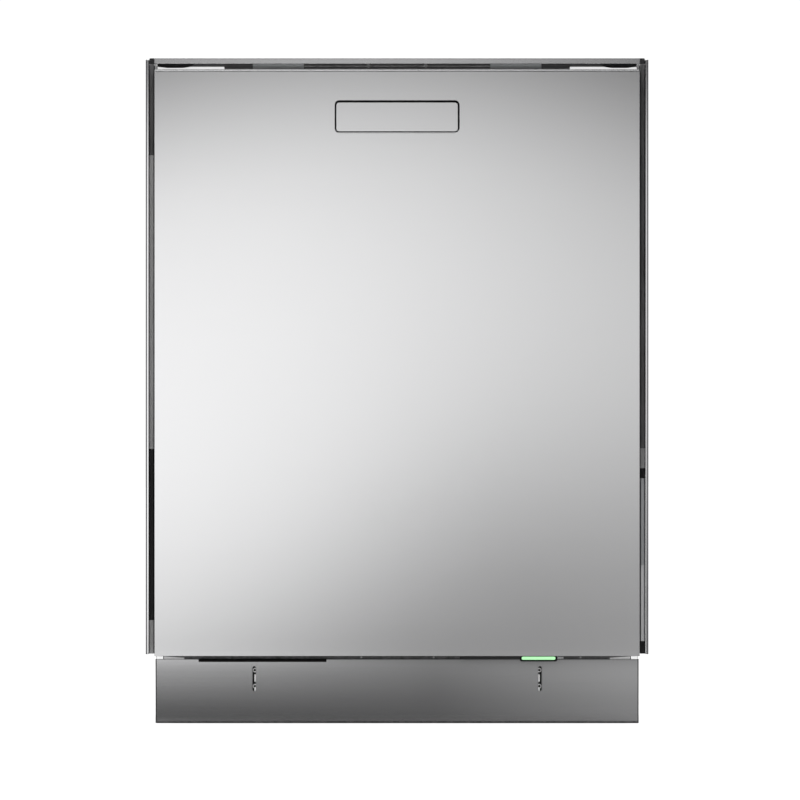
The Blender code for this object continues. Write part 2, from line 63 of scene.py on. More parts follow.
# name: (colour, roughness, metallic, grain's scale along x, y, z in cycles per metre,
#        share of the colour that the grain moves, roughness it moves, its depth in millimetres)
FINISHES = {
    "brushed_steel": ((0.640, 0.640, 0.645), 0.23, 1.0, (3, 700, 1100), 0.018, 0.03, 0.01),
    "plinth_steel": ((0.480, 0.480, 0.485), 0.17, 1.0, (3, 700, 1100), 0.03, 0.03, 0.01),
    "polished_steel": ((0.560, 0.560, 0.565), 0.16, 1.0, (300, 300, 5), 0.03, 0.03, 0.01),
    "tub_steel": ((0.660, 0.665, 0.670), 0.3, 1.0, (120, 120, 120), 0.04, 0.06, 0.02),
    "zinc_steel": ((0.560, 0.575, 0.585), 0.45, 1.0, (55, 55, 55), 0.12, 0.1, 0.04),
    "black_plastic": ((0.018, 0.018, 0.020), 0.42, 0.0, (1500, 1500, 1500), 0.15, 0.06, 0.05),
    "grey_plastic": ((0.300, 0.310, 0.320), 0.48, 0.0, (1500, 1500, 1500), 0.05, 0.05, 0.04),
    "pale_plastic": ((0.780, 0.790, 0.790), 0.42, 0.0, (1500, 1500, 1500), 0.03, 0.05, 0.03),
    "blue_plastic": ((0.050, 0.160, 0.420), 0.4, 0.0, (1500, 1500, 1500), 0.08, 0.05, 0.03),
    "rubber": ((0.030, 0.030, 0.032), 0.62, 0.0, (900, 900, 900), 0.15, 0.08, 0.06),
    "board": ((0.075, 0.072, 0.068), 0.85, 0.0, (260, 260, 260), 0.35, 0.06, 0.40),
    "coated_wire": ((0.560, 0.575, 0.590), 0.34, 0.0, (700, 700, 700), 0.05, 0.05, 0.02),
    "green_lens": ((0.330, 0.820, 0.360), 0.22, 0.0, (90, 90, 90), 0.06, 0.03, 0.01),
    "dark_gloss": ((0.026, 0.026, 0.028), 0.1, 0.0, (40, 40, 40), 0.2, 0.04, 0.01),
    "strip_gloss": ((0.120, 0.120, 0.123), 0.2, 0.0, (30, 30, 30), 0.06, 0.08, 0.02),
    # dark grey, used for painted shade in the side channels
    "channel_dark": ((0.190, 0.190, 0.193), 0.38, 0.0, (150, 150, 22), 0.7, 0.1, 0.04),
    # a pale grey, lightened to paint light on the strips in the shaded side channels
    "channel_grey": ((0.800, 0.800, 0.805), 0.4, 0.0, (150, 150, 9), 0.35, 0.08, 0.03),
    # painted shade: a dark edge finish for the door's shadow line and the moulding's shaded outer edge
    "edge_steel": ((0.130, 0.130, 0.135), 0.45, 0.0, (300, 300, 5), 0.06, 0.05, 0.01),
    "white_pad": ((0.900, 0.900, 0.900), 0.5, 0.0, (900, 900, 900), 0.02, 0.05, 0.01),
    "deep_black": ((0.002, 0.002, 0.002), 0.75, 0.0, (900, 900, 900), 0.3, 0.05, 0.02),
    "screw_light": ((0.820, 0.820, 0.820), 0.4, 0.0, (900, 900, 900), 0.03, 0.05, 0.01),
}


class Tree:
    """The node tree of a material or a world, with short ways to add to it."""

    def __init__(self, owner, cleared=False):
        owner.use_nodes = True
        self.nodes = owner.node_tree.nodes
        self.links = owner.node_tree.links
        if cleared:
            self.nodes.clear()

    def add(self, kind, inputs=None, **settings):
        """A new node with its settings made and its inputs fed."""
        node = self.nodes.new("ShaderNode" + kind)
        for key, value in settings.items():
            setattr(node, key, value)
        self.feed(node, inputs or {})
        return node

    def feed(self, node, inputs):
        """Sets a node's inputs, and links those given as another node's output."""
        for key, value in inputs.items():
            if isinstance(value, bpy.types.NodeSocket):
                self.links.new(value, node.inputs[key])
            else:
                node.inputs[key].default_value = value

    def ramp(self, value, first, last, low, high, kind="SMOOTHSTEP"):
        """The value carried from low to high as it goes from first to last."""
        spans = {"Value": value, "From Min": first, "From Max": last, "To Min": low, "To Max": high}
        return self.add("MapRange", spans, interpolation_type=kind).outputs["Result"]

    def graded(self, value, stops):
        """The value mapped through (place, level) stops with straight runs between them."""
        (first, low), (last, high) = stops[:2]
        total = self.ramp(value, first, last, low, high, "LINEAR")
        for (first, low), (last, high) in zip(stops[1:], stops[2:]):
            total = self.maths("ADD", total, self.ramp(value, first, last, 0.0, high - low, "LINEAR"))
        return total

    def maths(self, operation, first, second):
        """Two values, or a value and a number, put together."""
        return self.add("Math", {0: first, 1: second}, operation=operation).outputs["Value"]

    def tinted(self, value, dark, light, low=0.0, high=1.0):
        """The value turned into a colour between two, which it reaches at low and at high."""
        node = self.add("ValToRGB", {"Fac": value})
        for stop, place, colour in zip(node.color_ramp.elements, (low, high), (dark, light)):
            stop.position = place
            stop.color = colour
        return node.outputs["Color"]

    def object_place(self):
        """The place in the object's own axes, and its x, y and z apart."""
        place = self.add("TexCoord").outputs["Object"]
        return [place] + list(self.add("SeparateXYZ", {"Vector": place}).outputs)


def scaled(colour, share):
    """The colour made lighter or darker by a share, with alpha."""
    return tuple(min(1.0, channel * share) for channel in colour) + (1.0,)


def surface(name):
    """A procedural material: fine grain stretched as its table says, with soft clouds of wear under it."""
    colour, roughness, metallic, scale, contrast, rough_move, depth = FINISHES[name]
    material = bpy.data.materials.new(name)
    tree = Tree(material)
    place = tree.add("TexCoord").outputs["Object"]
    stretched = tree.add("Mapping", {"Vector": place, "Scale": scale}).outputs["Vector"]
    fine = tree.add("TexNoise", {"Vector": stretched, "Scale": 1.0, "Detail": 4.0, "Roughness": 0.65})
    fine = fine.outputs["Fac"]
    cloud = tree.add("TexNoise", {"Vector": place, "Scale": 7.0, "Detail": 2.0}).outputs["Fac"]
    blend = tree.add("Mix", {"Factor": 0.3, "A": fine, "B": cloud}).outputs["Result"]
    relief = tree.add("Bump", {"Strength": 0.35, "Distance": depth / 1000, "Height": fine})
    tree.feed(tree.nodes["Principled BSDF"], {
        "Base Color": tree.tinted(
            blend, scaled(colour, 1 - contrast), scaled(colour, 1 + contrast), 0.25, 0.75),
        "Metallic": metallic,
        "Roughness": tree.ramp(
            blend, 0.0, 1.0, max(0.03, roughness - rough_move), roughness + rough_move, "LINEAR"),
        "Normal": relief.outputs["Normal"],
    })
    return material


MATERIALS = {name: surface(name) for name in FINISHES}


def light_up(name, colour, strength):
    """Makes a finish glow, as a lit lens does; on parts that are no lamps the glow is painted light."""
    shader = MATERIALS[name].node_tree.nodes["Principled BSDF"]
    shader.inputs["Emission Color"].default_value = colour
    shader.inputs["Emission Strength"].default_value = strength


light_up("green_lens", (0.52, 0.98, 0.54, 1.0), 0.80)
# Painted light: the white pads glow though they are no lamps, standing in for bright see-through gaps.
light_up("white_pad", WHITE, 0.70)
# Painted light: the slot screws, slot brackets and gap wedges glow though they are no lamps.
light_up("screw_light", WHITE, 0.26)


# ---------------------------------------------------------------------------------------------------------
# Shape helpers: each returns a new bmesh
# ---------------------------------------------------------------------------------------------------------


def block(x0, x1, y0, y1, z0, z1):
    """A box between two corners."""
    shape = bmesh.new()
    bmesh.ops.create_cube(shape, size=1.0)
    for vert in shape.verts:
        vert.co.x = x1 if vert.co.x > 0 else x0
        vert.co.y = y1 if vert.co.y > 0 else y0
        vert.co.z = z1 if vert.co.z > 0 else z0
    return shape


def prism(outline, axis, start, end):
    """A closed outline, in the other two axes in order, drawn out along an axis."""
    number = "XYZ".index(axis)
    shape = bmesh.new()
    base = shape.faces.new([shape.verts.new((*place[:number], start, *place[number:])) for place in outline])
    grown = bmesh.ops.extrude_face_region(shape, geom=[base])
    step = [0, 0, 0]
    step[number] = end - start
    far_end = [item for item in grown["geom"] if isinstance(item, bmesh.types.BMVert)]
    bmesh.ops.translate(shape, verts=far_end, vec=step)
    bmesh.ops.recalc_face_normals(shape, faces=shape.faces)
    return shape


def arc(centre, radius, first, last, steps):
    """Points along an arc, angles in degrees, both ends included."""
    angles = [math.radians(first + (last - first) * i / steps) for i in range(steps + 1)]
    return [(centre[0] + radius * math.cos(a), centre[1] + radius * math.sin(a)) for a in angles]


def rounded_rectangle(u0, u1, v0, v1, radius, steps=5):
    """The outline of a rectangle with round corners."""
    corners = [(u1 - radius, v1 - radius), (u0 + radius, v1 - radius), (u0 + radius, v0 + radius)]
    corners.append((u1 - radius, v0 + radius))
    outline = []
    for turn, corner in enumerate(corners):
        outline += arc(corner, radius, 90 * turn, 90 * turn + 90, steps)
    return outline


def slab(u0, u1, v0, v1, radius, axis, start, end, steps=5):
    """A plate with round corners, drawn out along an axis."""
    return prism(rounded_rectangle(u0, u1, v0, v1, radius, steps), axis, start, end)


AXIS_TURN = {
    "X": Matrix.Rotation(math.pi / 2, 4, "Y"),
    "Y": Matrix.Rotation(-math.pi / 2, 4, "X"),
    "Z": Matrix.Identity(4),
}


def lathe(axis, centre, profile, sides=32):
    """A turned shape: profile is (distance along the axis, radius) pairs from one end to the other."""
    shape = bmesh.new()
    rings = []
    for along, radius in profile:
        if radius < 1e-6:
            rings.append([shape.verts.new((0, 0, along))])
            continue
        rings.append([shape.verts.new((x, y, along)) for x, y in around(sides, (0, 0), radius)])
    for low, high in zip(rings, rings[1:]):
        for i in range(sides):
            corners = [low[i % len(low)], low[(i + 1) % len(low)]]
            corners += [high[(i + 1) % len(high)], high[i % len(high)]]
            shape.faces.new(list(dict.fromkeys(corners)))
    for ring in (rings[0], rings[-1]):
        if len(ring) > 1:
            shape.faces.new(ring)
    bmesh.ops.transform(shape, matrix=Matrix.Translation(centre) @ AXIS_TURN[axis], verts=shape.verts)
    bmesh.ops.recalc_face_normals(shape, faces=shape.faces)
    return shape


def disc(axis, centre, radius, start, end, sides=24, edge=0.0):
    """A round plate or bar along an axis, between two distances from its centre, with an eased edge."""
    profile = [(start, radius), (end, radius)]
    if edge > 0:
        profile = [(start, radius - edge), (start + edge, radius), (end - edge, radius), (end, radius - edge)]
    return lathe(axis, centre, profile, sides)


def around(count, centre, radius):
    """Places evenly spaced round a circle."""
    angles = [TURN * i / count for i in range(count)]
    return [(centre[0] + radius * math.cos(a), centre[1] + radius * math.sin(a)) for a in angles]


def tube(points, radius, sides=8, closed=False):
    """Round wire through a list of points, mitred at its bends, with closed ends."""
    path = [Vector(p) for p in points]
    count = len(path)
    shape = bmesh.new()
    rings = []
    side = None
    for i, point in enumerate(path):
        before = path[(i - 1) % count] if closed or i > 0 else None
        after = path[(i + 1) % count] if closed or i < count - 1 else None
        arriving = (point - before).normalized() if before is not None else None
        leaving = (after - point).normalized() if after is not None else None
        along = ((arriving or leaving) + (leaving or arriving)).normalized()
        if side is None:
            side = along.orthogonal().normalized()
        side = (side - along * side.dot(along)).normalized()
        other = along.cross(side)
        stretch = 1.0
        if arriving is not None and leaving is not None:
            stretch = min(1.6, 1.0 / max(0.3, along.dot(leaving)))
        bend = (leaving - arriving) if arriving is not None and leaving is not None else Vector()
        bend = bend.normalized() if bend.length > 1e-6 else Vector()
        ring = []
        for k in range(sides):
            angle = TURN * k / sides
            offset = (side * math.cos(angle) + other * math.sin(angle)) * radius
            offset += bend * (offset.dot(bend) * (stretch - 1.0))
            ring.append(shape.verts.new(point + offset))
        rings.append(ring)
    pairs = list(zip(rings, rings[1:]))
    if closed:
        pairs.append((rings[-1], rings[0]))
    for low, high in pairs:
        for k in range(sides):
            shape.faces.new((low[k], low[(k + 1) % sides], high[(k + 1) % sides], high[k]))
    if not closed:
        shape.faces.new(rings[0][::-1])
        shape.faces.new(rings[-1])
    bmesh.ops.recalc_face_normals(shape, faces=shape.faces)
    return shape


def pegs(places, low, high, radius):
    """Short upright bars at (x, y) places."""
    return [tube([(x, y, low), (x, y, high)], radius, sides=6) for x, y in places]


def merged(shapes):
    """Several shapes as one."""
    whole = bmesh.new()
    for shape in shapes:
        scratch = bpy.data.meshes.new("scratch")
        shape.to_mesh(scratch)
        shape.free()
        whole.from_mesh(scratch)
        bpy.data.meshes.remove(scratch)
    return whole


def mirrored(shape):
    """The shape on the other side of x = 0."""
    bmesh.ops.scale(shape, vec=(-1, 1, 1), verts=shape.verts)
    bmesh.ops.reverse_faces(shape, faces=shape.faces)
    return shape


def sided(shape, side):
    """A shape drawn on the right-hand side, put on the side asked for."""
    return mirrored(shape) if side < 0 else shape


def bored(shape, cutters):
    """The shape with other shapes cut out of it."""
    scratch = []
    for label, source in (("body", shape), ("cutter", merged(cutters))):
        mesh = bpy.data.meshes.new(label)
        source.to_mesh(mesh)
        source.free()
        obj = bpy.data.objects.new(label, mesh)
        bpy.context.scene.collection.objects.link(obj)
        scratch.append(obj)
    body, cutter = scratch
    cut = body.modifiers.new("cut", "BOOLEAN")
    cut.operation = "DIFFERENCE"
    cut.solver = "EXACT"
    cut.use_self = True
    cut.object = cutter
    bpy.context.view_layer.update()
    result = bmesh.new()
    result.from_object(body, bpy.context.evaluated_depsgraph_get())
    for obj in scratch:
        mesh = obj.data
        bpy.data.objects.remove(obj)
        bpy.data.meshes.remove(mesh)
    return result


# ---------------------------------------------------------------------------------------------------------
# Pieces and nodes
# ---------------------------------------------------------------------------------------------------------


SMOOTH_ANGLE = 38


def piece(name, shape, finish, body, edge=0.0, replaces=()):
    """A finished piece that rides on a body. edge is the width of its eased edges."""
    mesh = bpy.data.meshes.new(name)
    shape.to_mesh(mesh)
    shape.free()
    mesh.shade_smooth()
    mesh.set_sharp_from_angle(angle=math.radians(SMOOTH_ANGLE))
    mesh.materials.append(MATERIALS[finish])
    obj = bpy.data.objects.new(name, mesh)
    bpy.context.scene.collection.objects.link(obj)
    if edge > 0:
        ease(obj, edge)
    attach(obj, body)
    if replaces:
        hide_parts(*replaces)


def pair(name, shape, finish, body, **options):
    """A shape drawn on the right-hand side, as a piece on each side. {} in the name takes the side's word."""
    for word, side in SIDES.items():
        piece(name.format(word), sided(shape.copy(), side), finish, body, **options)
    shape.free()


def ease(obj, width):
    """Rounds an object's sharp edges."""
    bevel = obj.modifiers.new("edges", "BEVEL")
    bevel.width = width
    bevel.segments = 2
    bevel.limit_method = "ANGLE"
    bevel.angle_limit = math.radians(40)
    bevel.use_clamp_overlap = True


def dress(finish, edge, *names):
    """Gives frame nodes their finish and, where asked, eased edges. {} in a name takes each side's word."""
    for name in names:
        for node in dict.fromkeys(name.format(word) for word in SIDES):
            obj = frame["nodes"][node]
            obj.data.materials.clear()
            obj.data.materials.append(MATERIALS[finish])
            if edge > 0:
                weld = obj.modifiers.new("joined", "WELD")
                weld.merge_threshold = 0.00001
                ease(obj, edge)


def dress_all_nodes():
    """Every node takes the finish that its slot in the record names."""
    slot_of_node = {}
    for entry in frame["record"]["materials"]:
        for node in entry.get("nodes", []):
            slot_of_node[node] = entry["slot"]
    for node in frame["nodes"]:
        dress(slot_of_node.get(node, "grey_plastic"), 0, node)


dress_all_nodes()
dress("tub_steel", 0, "tub", "front_frame", "filter_plate")
dress("polished_steel", 0, "plinth_screw_{}")
dress("black_plastic", 0, "handle_pocket")


# ---------------------------------------------------------------------------------------------------------
# Camera, light and floor
# ---------------------------------------------------------------------------------------------------------

DOOR_LOW, DOOR_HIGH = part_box("door_skin")
FACE_Y = DOOR_LOW.y
VIEW_X = 0.0036
VIEW_Z = 0.398
VIEW_WIDTH = 0.9824
VIEW_DISTANCE = 22.0
SENSOR = 36.0

CARD_DISTANCE = 1.5
CARD_PEAK = 1.55
LOW_CARD_DISTANCE = 0.12
WORLD_LIGHT = 0.34
FLOOR_HALF = 60.0


def add_camera():
    """A long lens straight in front of the door, at the height of the picture's centre."""
    data = bpy.data.cameras.new("camera")
    data.sensor_width = SENSOR
    data.lens = SENSOR * VIEW_DISTANCE / VIEW_WIDTH
    data.clip_end = 200.0
    camera = bpy.data.objects.new("camera", data)
    camera.location = (VIEW_X, FACE_Y - VIEW_DISTANCE, VIEW_Z)
    camera.rotation_euler = (math.pi / 2, 0, 0)
    bpy.context.scene.collection.objects.link(camera)
    bpy.context.scene.camera = camera


def add_world():
    """White where the camera looks straight at it, a soft graded studio for everything else."""
    world = bpy.data.worlds.new("studio")
    bpy.context.scene.world = world
    tree = Tree(world, cleared=True)
    place = tree.add("TexCoord").outputs["Generated"]
    height = tree.add("SeparateXYZ", {"Vector": place}).outputs["Z"]
    grade = tree.ramp(height, -0.2, 1.0, WORLD_LIGHT * 0.7, WORLD_LIGHT * 1.7, "LINEAR")
    studio = tree.add("Background", {"Color": WHITE, "Strength": grade}).outputs["Background"]
    white = tree.add("Background", {"Color": WHITE, "Strength": 1.05}).outputs["Background"]
    seen = tree.add("LightPath").outputs["Is Camera Ray"]
    choose = tree.add("MixShader", {"Fac": seen, 1: studio, 2: white})
    tree.add("OutputWorld", {"Surface": choose.outputs["Shader"]})


def sheet(name, corners, material, place=(0, 0, 0), unseen_by=()):
    """A flat four-cornered part of the stage, unseen by the kinds of ray named."""
    shape = bmesh.new()
    shape.faces.new([shape.verts.new(corner) for corner in corners])
    mesh = bpy.data.meshes.new(name)
    shape.to_mesh(mesh)
    shape.free()
    mesh.materials.append(material)
    obj = bpy.data.objects.new(name, mesh)
    obj.location = place
    for kind in unseen_by:
        setattr(obj, f"visible_{kind}", False)
    bpy.context.scene.collection.objects.link(obj)


def flat(half, front, rear, z):
    """Corners of a level sheet."""
    return [(-half, front, z), (half, front, z), (half, rear, z), (-half, rear, z)]


def upright(half, bottom, top):
    """Corners of a sheet that faces the door."""
    return [(-half, 0, bottom), (half, 0, bottom), (half, 0, top), (-half, 0, top)]


def add_floor():
    """A plain pale floor that reads white to the camera, with a faint shadow under the object."""
    material = bpy.data.materials.new("floor")
    tree = Tree(material)
    speck = tree.add("TexNoise", {"Scale": 3.0}).outputs["Fac"]
    seen = tree.add("LightPath").outputs["Is Camera Ray"]
    tree.feed(tree.nodes["Principled BSDF"], {
        "Base Color": tree.tinted(speck, (0.48, 0.48, 0.48, 1.0), (0.52, 0.52, 0.52, 1.0)),
        "Roughness": 0.9,
        "Specular IOR Level": 0.1,
        "Emission Color": WHITE,
        "Emission Strength": tree.maths("MULTIPLY", seen, 0.86),
    })
    sheet("floor", flat(FLOOR_HALF, -FLOOR_HALF, FLOOR_HALF, -0.0002), material)


def glowing(tree, strength):
    """Makes a cleared tree a plain light of a strength."""
    glow = tree.add("Emission", {"Strength": strength})
    tree.add("OutputMaterial", {"Surface": glow.outputs["Emission"]})


def add_card():
    """A large soft light in front of the door, brightest left of the middle, which the steel reflects."""
    material = bpy.data.materials.new("light_card")
    tree = Tree(material, cleared=True)
    ramp, maths = tree.ramp, tree.maths
    _, x, _, z = tree.object_place()
    across = ramp(x, -0.35, 0.50, 1.0, 0.60)
    arched = maths("ADD", z, maths("MULTIPLY", maths("POWER", maths("ABSOLUTE", x, 0), 2), 0.45))
    top = ramp(arched, 0.745, 0.925, 1.0, 0.0)
    capped = maths("MINIMUM", x, 0.11)
    slant = maths("SUBTRACT", z, maths("MULTIPLY", maths("ADD", capped, 0.32), 0.68))
    darkest = ramp(x, 0.10, 0.45, 0.22, 0.46)
    rise = maths("MULTIPLY", ramp(slant, -0.17, 0.14, 0.0, 1.0), maths("SUBTRACT", 1.0, darkest))
    strength = maths("MULTIPLY", maths("MULTIPLY", across, top), maths("ADD", darkest, rise))
    glowing(tree, maths("MULTIPLY", strength, CARD_PEAK))
    place = (0, FACE_Y - CARD_DISTANCE, 0)
    sheet("light_card", upright(1.5, 0.02, 2.0), material, place, ("camera", "shadow"))


def add_low_card():
    """A small graded light before the plinth, seen only in its reflection, dim at its foot and middle."""
    material = bpy.data.materials.new("low_card")
    tree = Tree(material, cleared=True)
    _, x, _, z = tree.object_place()
    upper = tree.graded(x, ((-0.29, 0.67), (0.05, 0.33), (0.29, 0.62)))
    lower = tree.graded(x, ((-0.29, 0.14), (0.05, 0.18), (0.29, 0.42)))
    height = tree.ramp(z, 0.0, 0.080, 0.0, 1.0)
    glowing(tree, tree.add("Mix", {"Factor": height, "A": lower, "B": upper}).outputs["Result"])
    place = (0, FACE_Y - LOW_CARD_DISTANCE, 0)
    sheet("low_card", upright(0.40, 0.0005, 0.0750), material, place, ("camera", "shadow", "diffuse"))


def add_floor_shade():
    """A dark sheet on the floor in front, seen only in reflections, which shades the plinth's lower part."""
    material = bpy.data.materials.new("floor_shade")
    tree = Tree(material)
    x = tree.object_place()[1]
    tree.feed(tree.nodes["Principled BSDF"], {
        "Base Color": tree.ramp(x, -0.05, 0.45, 0.02, 0.60), "Roughness": 1.0, "Specular IOR Level": 0.0})
    corners = flat(1.4, FACE_Y - CARD_DISTANCE + 0.02, FACE_Y - 0.06, 0.0004)
    sheet("floor_shade", corners, material, unseen_by=("camera", "diffuse", "shadow"))


def add_area(name, place, power):
    """A soft area light aimed at the object, unseen by the camera."""
    data = bpy.data.lights.new(name, "AREA")
    data.energy = power
    data.size = 2.4
    light = bpy.data.objects.new(name, data)
    light.location = place
    aim = Vector((0, 0, 0.4)) - Vector(place)
    light.rotation_euler = aim.to_track_quat("-Z", "Y").to_euler()
    light.visible_camera = False
    bpy.context.scene.collection.objects.link(light)


bpy.context.scene.view_settings.view_transform = "Standard"
add_camera()
add_world()
add_floor()
add_card()
add_low_card()
add_floor_shade()
add_area("top_light", (-0.6, -0.8, 2.8), 22)
add_area("rear_light", (1.3, 2.1, 2.9), 26)
add_area("left_light", (-2.3, 0.3, 2.4), 22)


# ---------------------------------------------------------------------------------------------------------
# Front: door edges, handle, top strip, side channels, plinth
# ---------------------------------------------------------------------------------------------------------

TRIM_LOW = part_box("top_trim")[0]
PLINTH_LOW, PLINTH_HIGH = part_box("plinth")
FLAP_LOW, FLAP_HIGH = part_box("handle_flap")
LIGHT_LOW, LIGHT_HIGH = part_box("status_light")
SCREW_LOW, SCREW_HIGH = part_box("plinth_screw_right")

STRIP_BOTTOM = TRIM_LOW.z
STRIP_TOP = 0.8113
STRIP_FACE = -0.2462
STRIP_HALF = 0.2945


def make_door_trim():
    """The door's folded top hem with a painted shadow line under it, the eased edges of its skin and flap,
    and the thin sill under the flap.
    """
    dress("brushed_steel", 0.0003, "door_skin")
    dress("brushed_steel", 0.0005, "handle_flap")
    hem = slab(FACE_Y + 0.0004, FACE_Y + 0.0225, DOOR_HIGH.z + 0.0001, DOOR_HIGH.z + 0.0023, 0.0005,
               "X", DOOR_LOW.x + 0.0006, DOOR_HIGH.x - 0.0006)
    piece("door_hem", hem, "brushed_steel", "door")
    # Painted shadow: a thin dark strip under the hem stands for the shadow line at the fold.
    shadow_strip = block(DOOR_LOW.x + 0.0004, DOOR_HIGH.x - 0.0004, FACE_Y - 0.0002, FACE_Y + 0.0006,
                   DOOR_HIGH.z - 0.0010, DOOR_HIGH.z - 0.0003)
    piece("door_crease", shadow_strip, "edge_steel", "door", edge=0.0001)
    front, rear = FACE_Y + 0.0008, FACE_Y + 0.0020
    sill = prism([(front, 0.7261), (front, 0.7266), (rear, 0.7268), (rear, 0.7261)],
                 "X", FLAP_LOW.x + 0.0030, FLAP_HIGH.x - 0.0030)
    piece("flap_sill", sill, "brushed_steel", "door")


def make_top_strip():
    """The dark strip over the door, its bead, end pads of painted light, wedges of painted shade, plates and
    screws.
    """
    front = STRIP_FACE - 0.0013
    strip = block(-STRIP_HALF, STRIP_HALF, STRIP_FACE - 0.0012, STRIP_FACE - 0.0001,
                  STRIP_BOTTOM + 0.0003, STRIP_TOP)
    piece("top_strip", strip, "strip_gloss", "cabinet", edge=0.0004)
    ridge, middle = STRIP_FACE - 0.0020, STRIP_TOP - 0.0028
    bead = prism([(front, middle - 0.0009), (ridge, middle - 0.0005), (ridge, middle + 0.0005),
                  (front, middle + 0.0009)], "X", -0.1140, 0.1140)
    piece("top_bead", bead, "channel_grey", "cabinet", edge=0.0002)
    pad_front = STRIP_FACE - 0.0022
    pad = slab(0.2125, STRIP_HALF, STRIP_BOTTOM - 0.0006, STRIP_BOTTOM + 0.0031, 0.0006,
               "Y", pad_front, front)
    # Painted light: the end pads glow white though they are no lamps.
    pair("top_pad_{}", pad, "white_pad", "cabinet", edge=0.0003)
    # Painted shade: dark wedges at the strip's ends stand for the shade over the glowing pads.
    belly, inner = STRIP_BOTTOM + 0.0017, 0.2500
    outline = [(inner, STRIP_TOP - 0.0008), (inner + 0.006, belly + 0.0010), (inner + 0.014, belly)]
    outline += [(STRIP_HALF - 0.012, belly), (STRIP_HALF, belly + 0.0014), (STRIP_HALF, STRIP_TOP)]
    seal = prism(outline + [(inner, STRIP_TOP)], "Y", pad_front - 0.0008, pad_front - 0.0001)
    pair("top_seal_{}", seal, "rubber", "cabinet", edge=0.0002)
    plate = block(0.1145, 0.1775, pad_front, front, STRIP_BOTTOM + 0.0004, STRIP_TOP)
    pair("top_plate_{}", plate, "zinc_steel", "cabinet", edge=0.0003)
    tip = STRIP_FACE - 0.0025
    screw = lathe("Y", (0.0352, 0, STRIP_BOTTOM + 0.0043), [
        (tip, 0.0), (tip, 0.0016), (STRIP_FACE - 0.0021, 0.0023), (front, 0.0024), (front, 0.0)], 16)
    pair("latch_screw_{}", screw, "pale_plastic", "cabinet")


# (bottom, top, finish) of the strips that line each side channel, whose finishes paint its light and shade
# band by band
CHANNEL_LIGHT_AND_SHADE = {
    "left": (
        (0.0864, 0.1275, "channel_grey"),
        (0.1277, 0.3378, "rubber"),
        (0.3380, 0.6988, "channel_grey"),
        (0.6990, 0.8105, "channel_dark"),
    ),
    "right": (
        (0.0864, 0.1015, "rubber"),
        (0.1017, 0.1950, "tub_steel"),
        (0.1952, 0.3018, "zinc_steel"),
        (0.3020, 0.3140, "rubber"),
        (0.3142, 0.3388, "channel_grey"),
        (0.3390, 0.6998, "channel_dark"),
        (0.7000, 0.8105, "channel_dark"),
    ),
}
CHANNEL_INNER = 0.2990
CHANNEL_OUTER = 0.3046
CHANNEL_FACE = -0.2680
CHANNEL_BACK = -0.2356
LIP_SPLIT = 0.3073


def make_channels():
    """The strips in the channel between the door and each moulding, with painted light and shade, their cap,
    and the moulding's edge in painted shade.
    """
    dress("polished_steel", 0.0006, "moulding_{}")
    middle, shoulder = (CHANNEL_INNER + CHANNEL_OUTER) / 2, CHANNEL_FACE + 0.0010
    outline = [(CHANNEL_INNER, CHANNEL_BACK), (CHANNEL_INNER, shoulder)]
    outline += [(CHANNEL_INNER + 0.0008, CHANNEL_FACE), (middle, CHANNEL_FACE + 0.0006)]
    outline += [(CHANNEL_OUTER - 0.0008, CHANNEL_FACE), (CHANNEL_OUTER, shoulder)]
    outline.append((CHANNEL_OUTER, CHANNEL_BACK))
    for word, side in SIDES.items():
        # Painted light and shade: each band's finish sets how bright the channel reads at that height.
        for number, (bottom, top, finish) in enumerate(CHANNEL_LIGHT_AND_SHADE[word], start=1):
            strip = sided(prism(outline, "Z", bottom, top), side)
            piece(f"channel_{word}_{number}", strip, finish, "cabinet")
    seal = prism(
        [(0.2988, -0.2215), (0.2988, -0.2333), (0.3050, -0.2333), (0.3050, -0.2290), (0.3010, -0.2215)],
        "Z", 0.0866, 0.8105)
    pair("moulding_seal_{}", seal, "rubber", "cabinet", edge=0.0004)
    inner = CHANNEL_INNER - 0.0006
    cap = prism(
        [(inner, 0.8108), (CHANNEL_OUTER, 0.8108), (CHANNEL_OUTER, 0.8160)]
        + arc((CHANNEL_OUTER - 0.0020, 0.8160), 0.0020, 0, 90, 4) + [(inner, 0.8180)],
        "Y", TRIM_LOW.y - 0.0060, TRIM_LOW.y - 0.0002)
    pair("channel_cap_{}", cap, "rubber", "cabinet", edge=0.0004)
    low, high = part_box("moulding_right")
    # Painted shade: the polished moulding's outer edge is drawn in a dark finish so it reads as its shaded
    # side.
    edge = [(LIP_SPLIT, low.y - 0.0003), (high.x - 0.0001, low.y - 0.0003), (high.x + 0.0002, low.y + 0.0002)]
    edge += [(high.x + 0.0002, low.y + 0.0220), (high.x - 0.0004, low.y + 0.0220)]
    edge.append((LIP_SPLIT, low.y + 0.0004))
    pair("moulding_edge_{}", prism(edge, "Z", low.z, high.z), "edge_steel", "cabinet")


def screw_head(axis, centre, radius, face, depth, sides=24):
    """A domed screw head with its face at a place on the axis, thickening towards its seat."""
    profile = [(face, radius * 0.62), (face + depth * 0.25, radius * 0.92), (face + depth * 0.6, radius)]
    profile.append((face + depth, radius))
    return lathe(axis, centre, profile, sides)


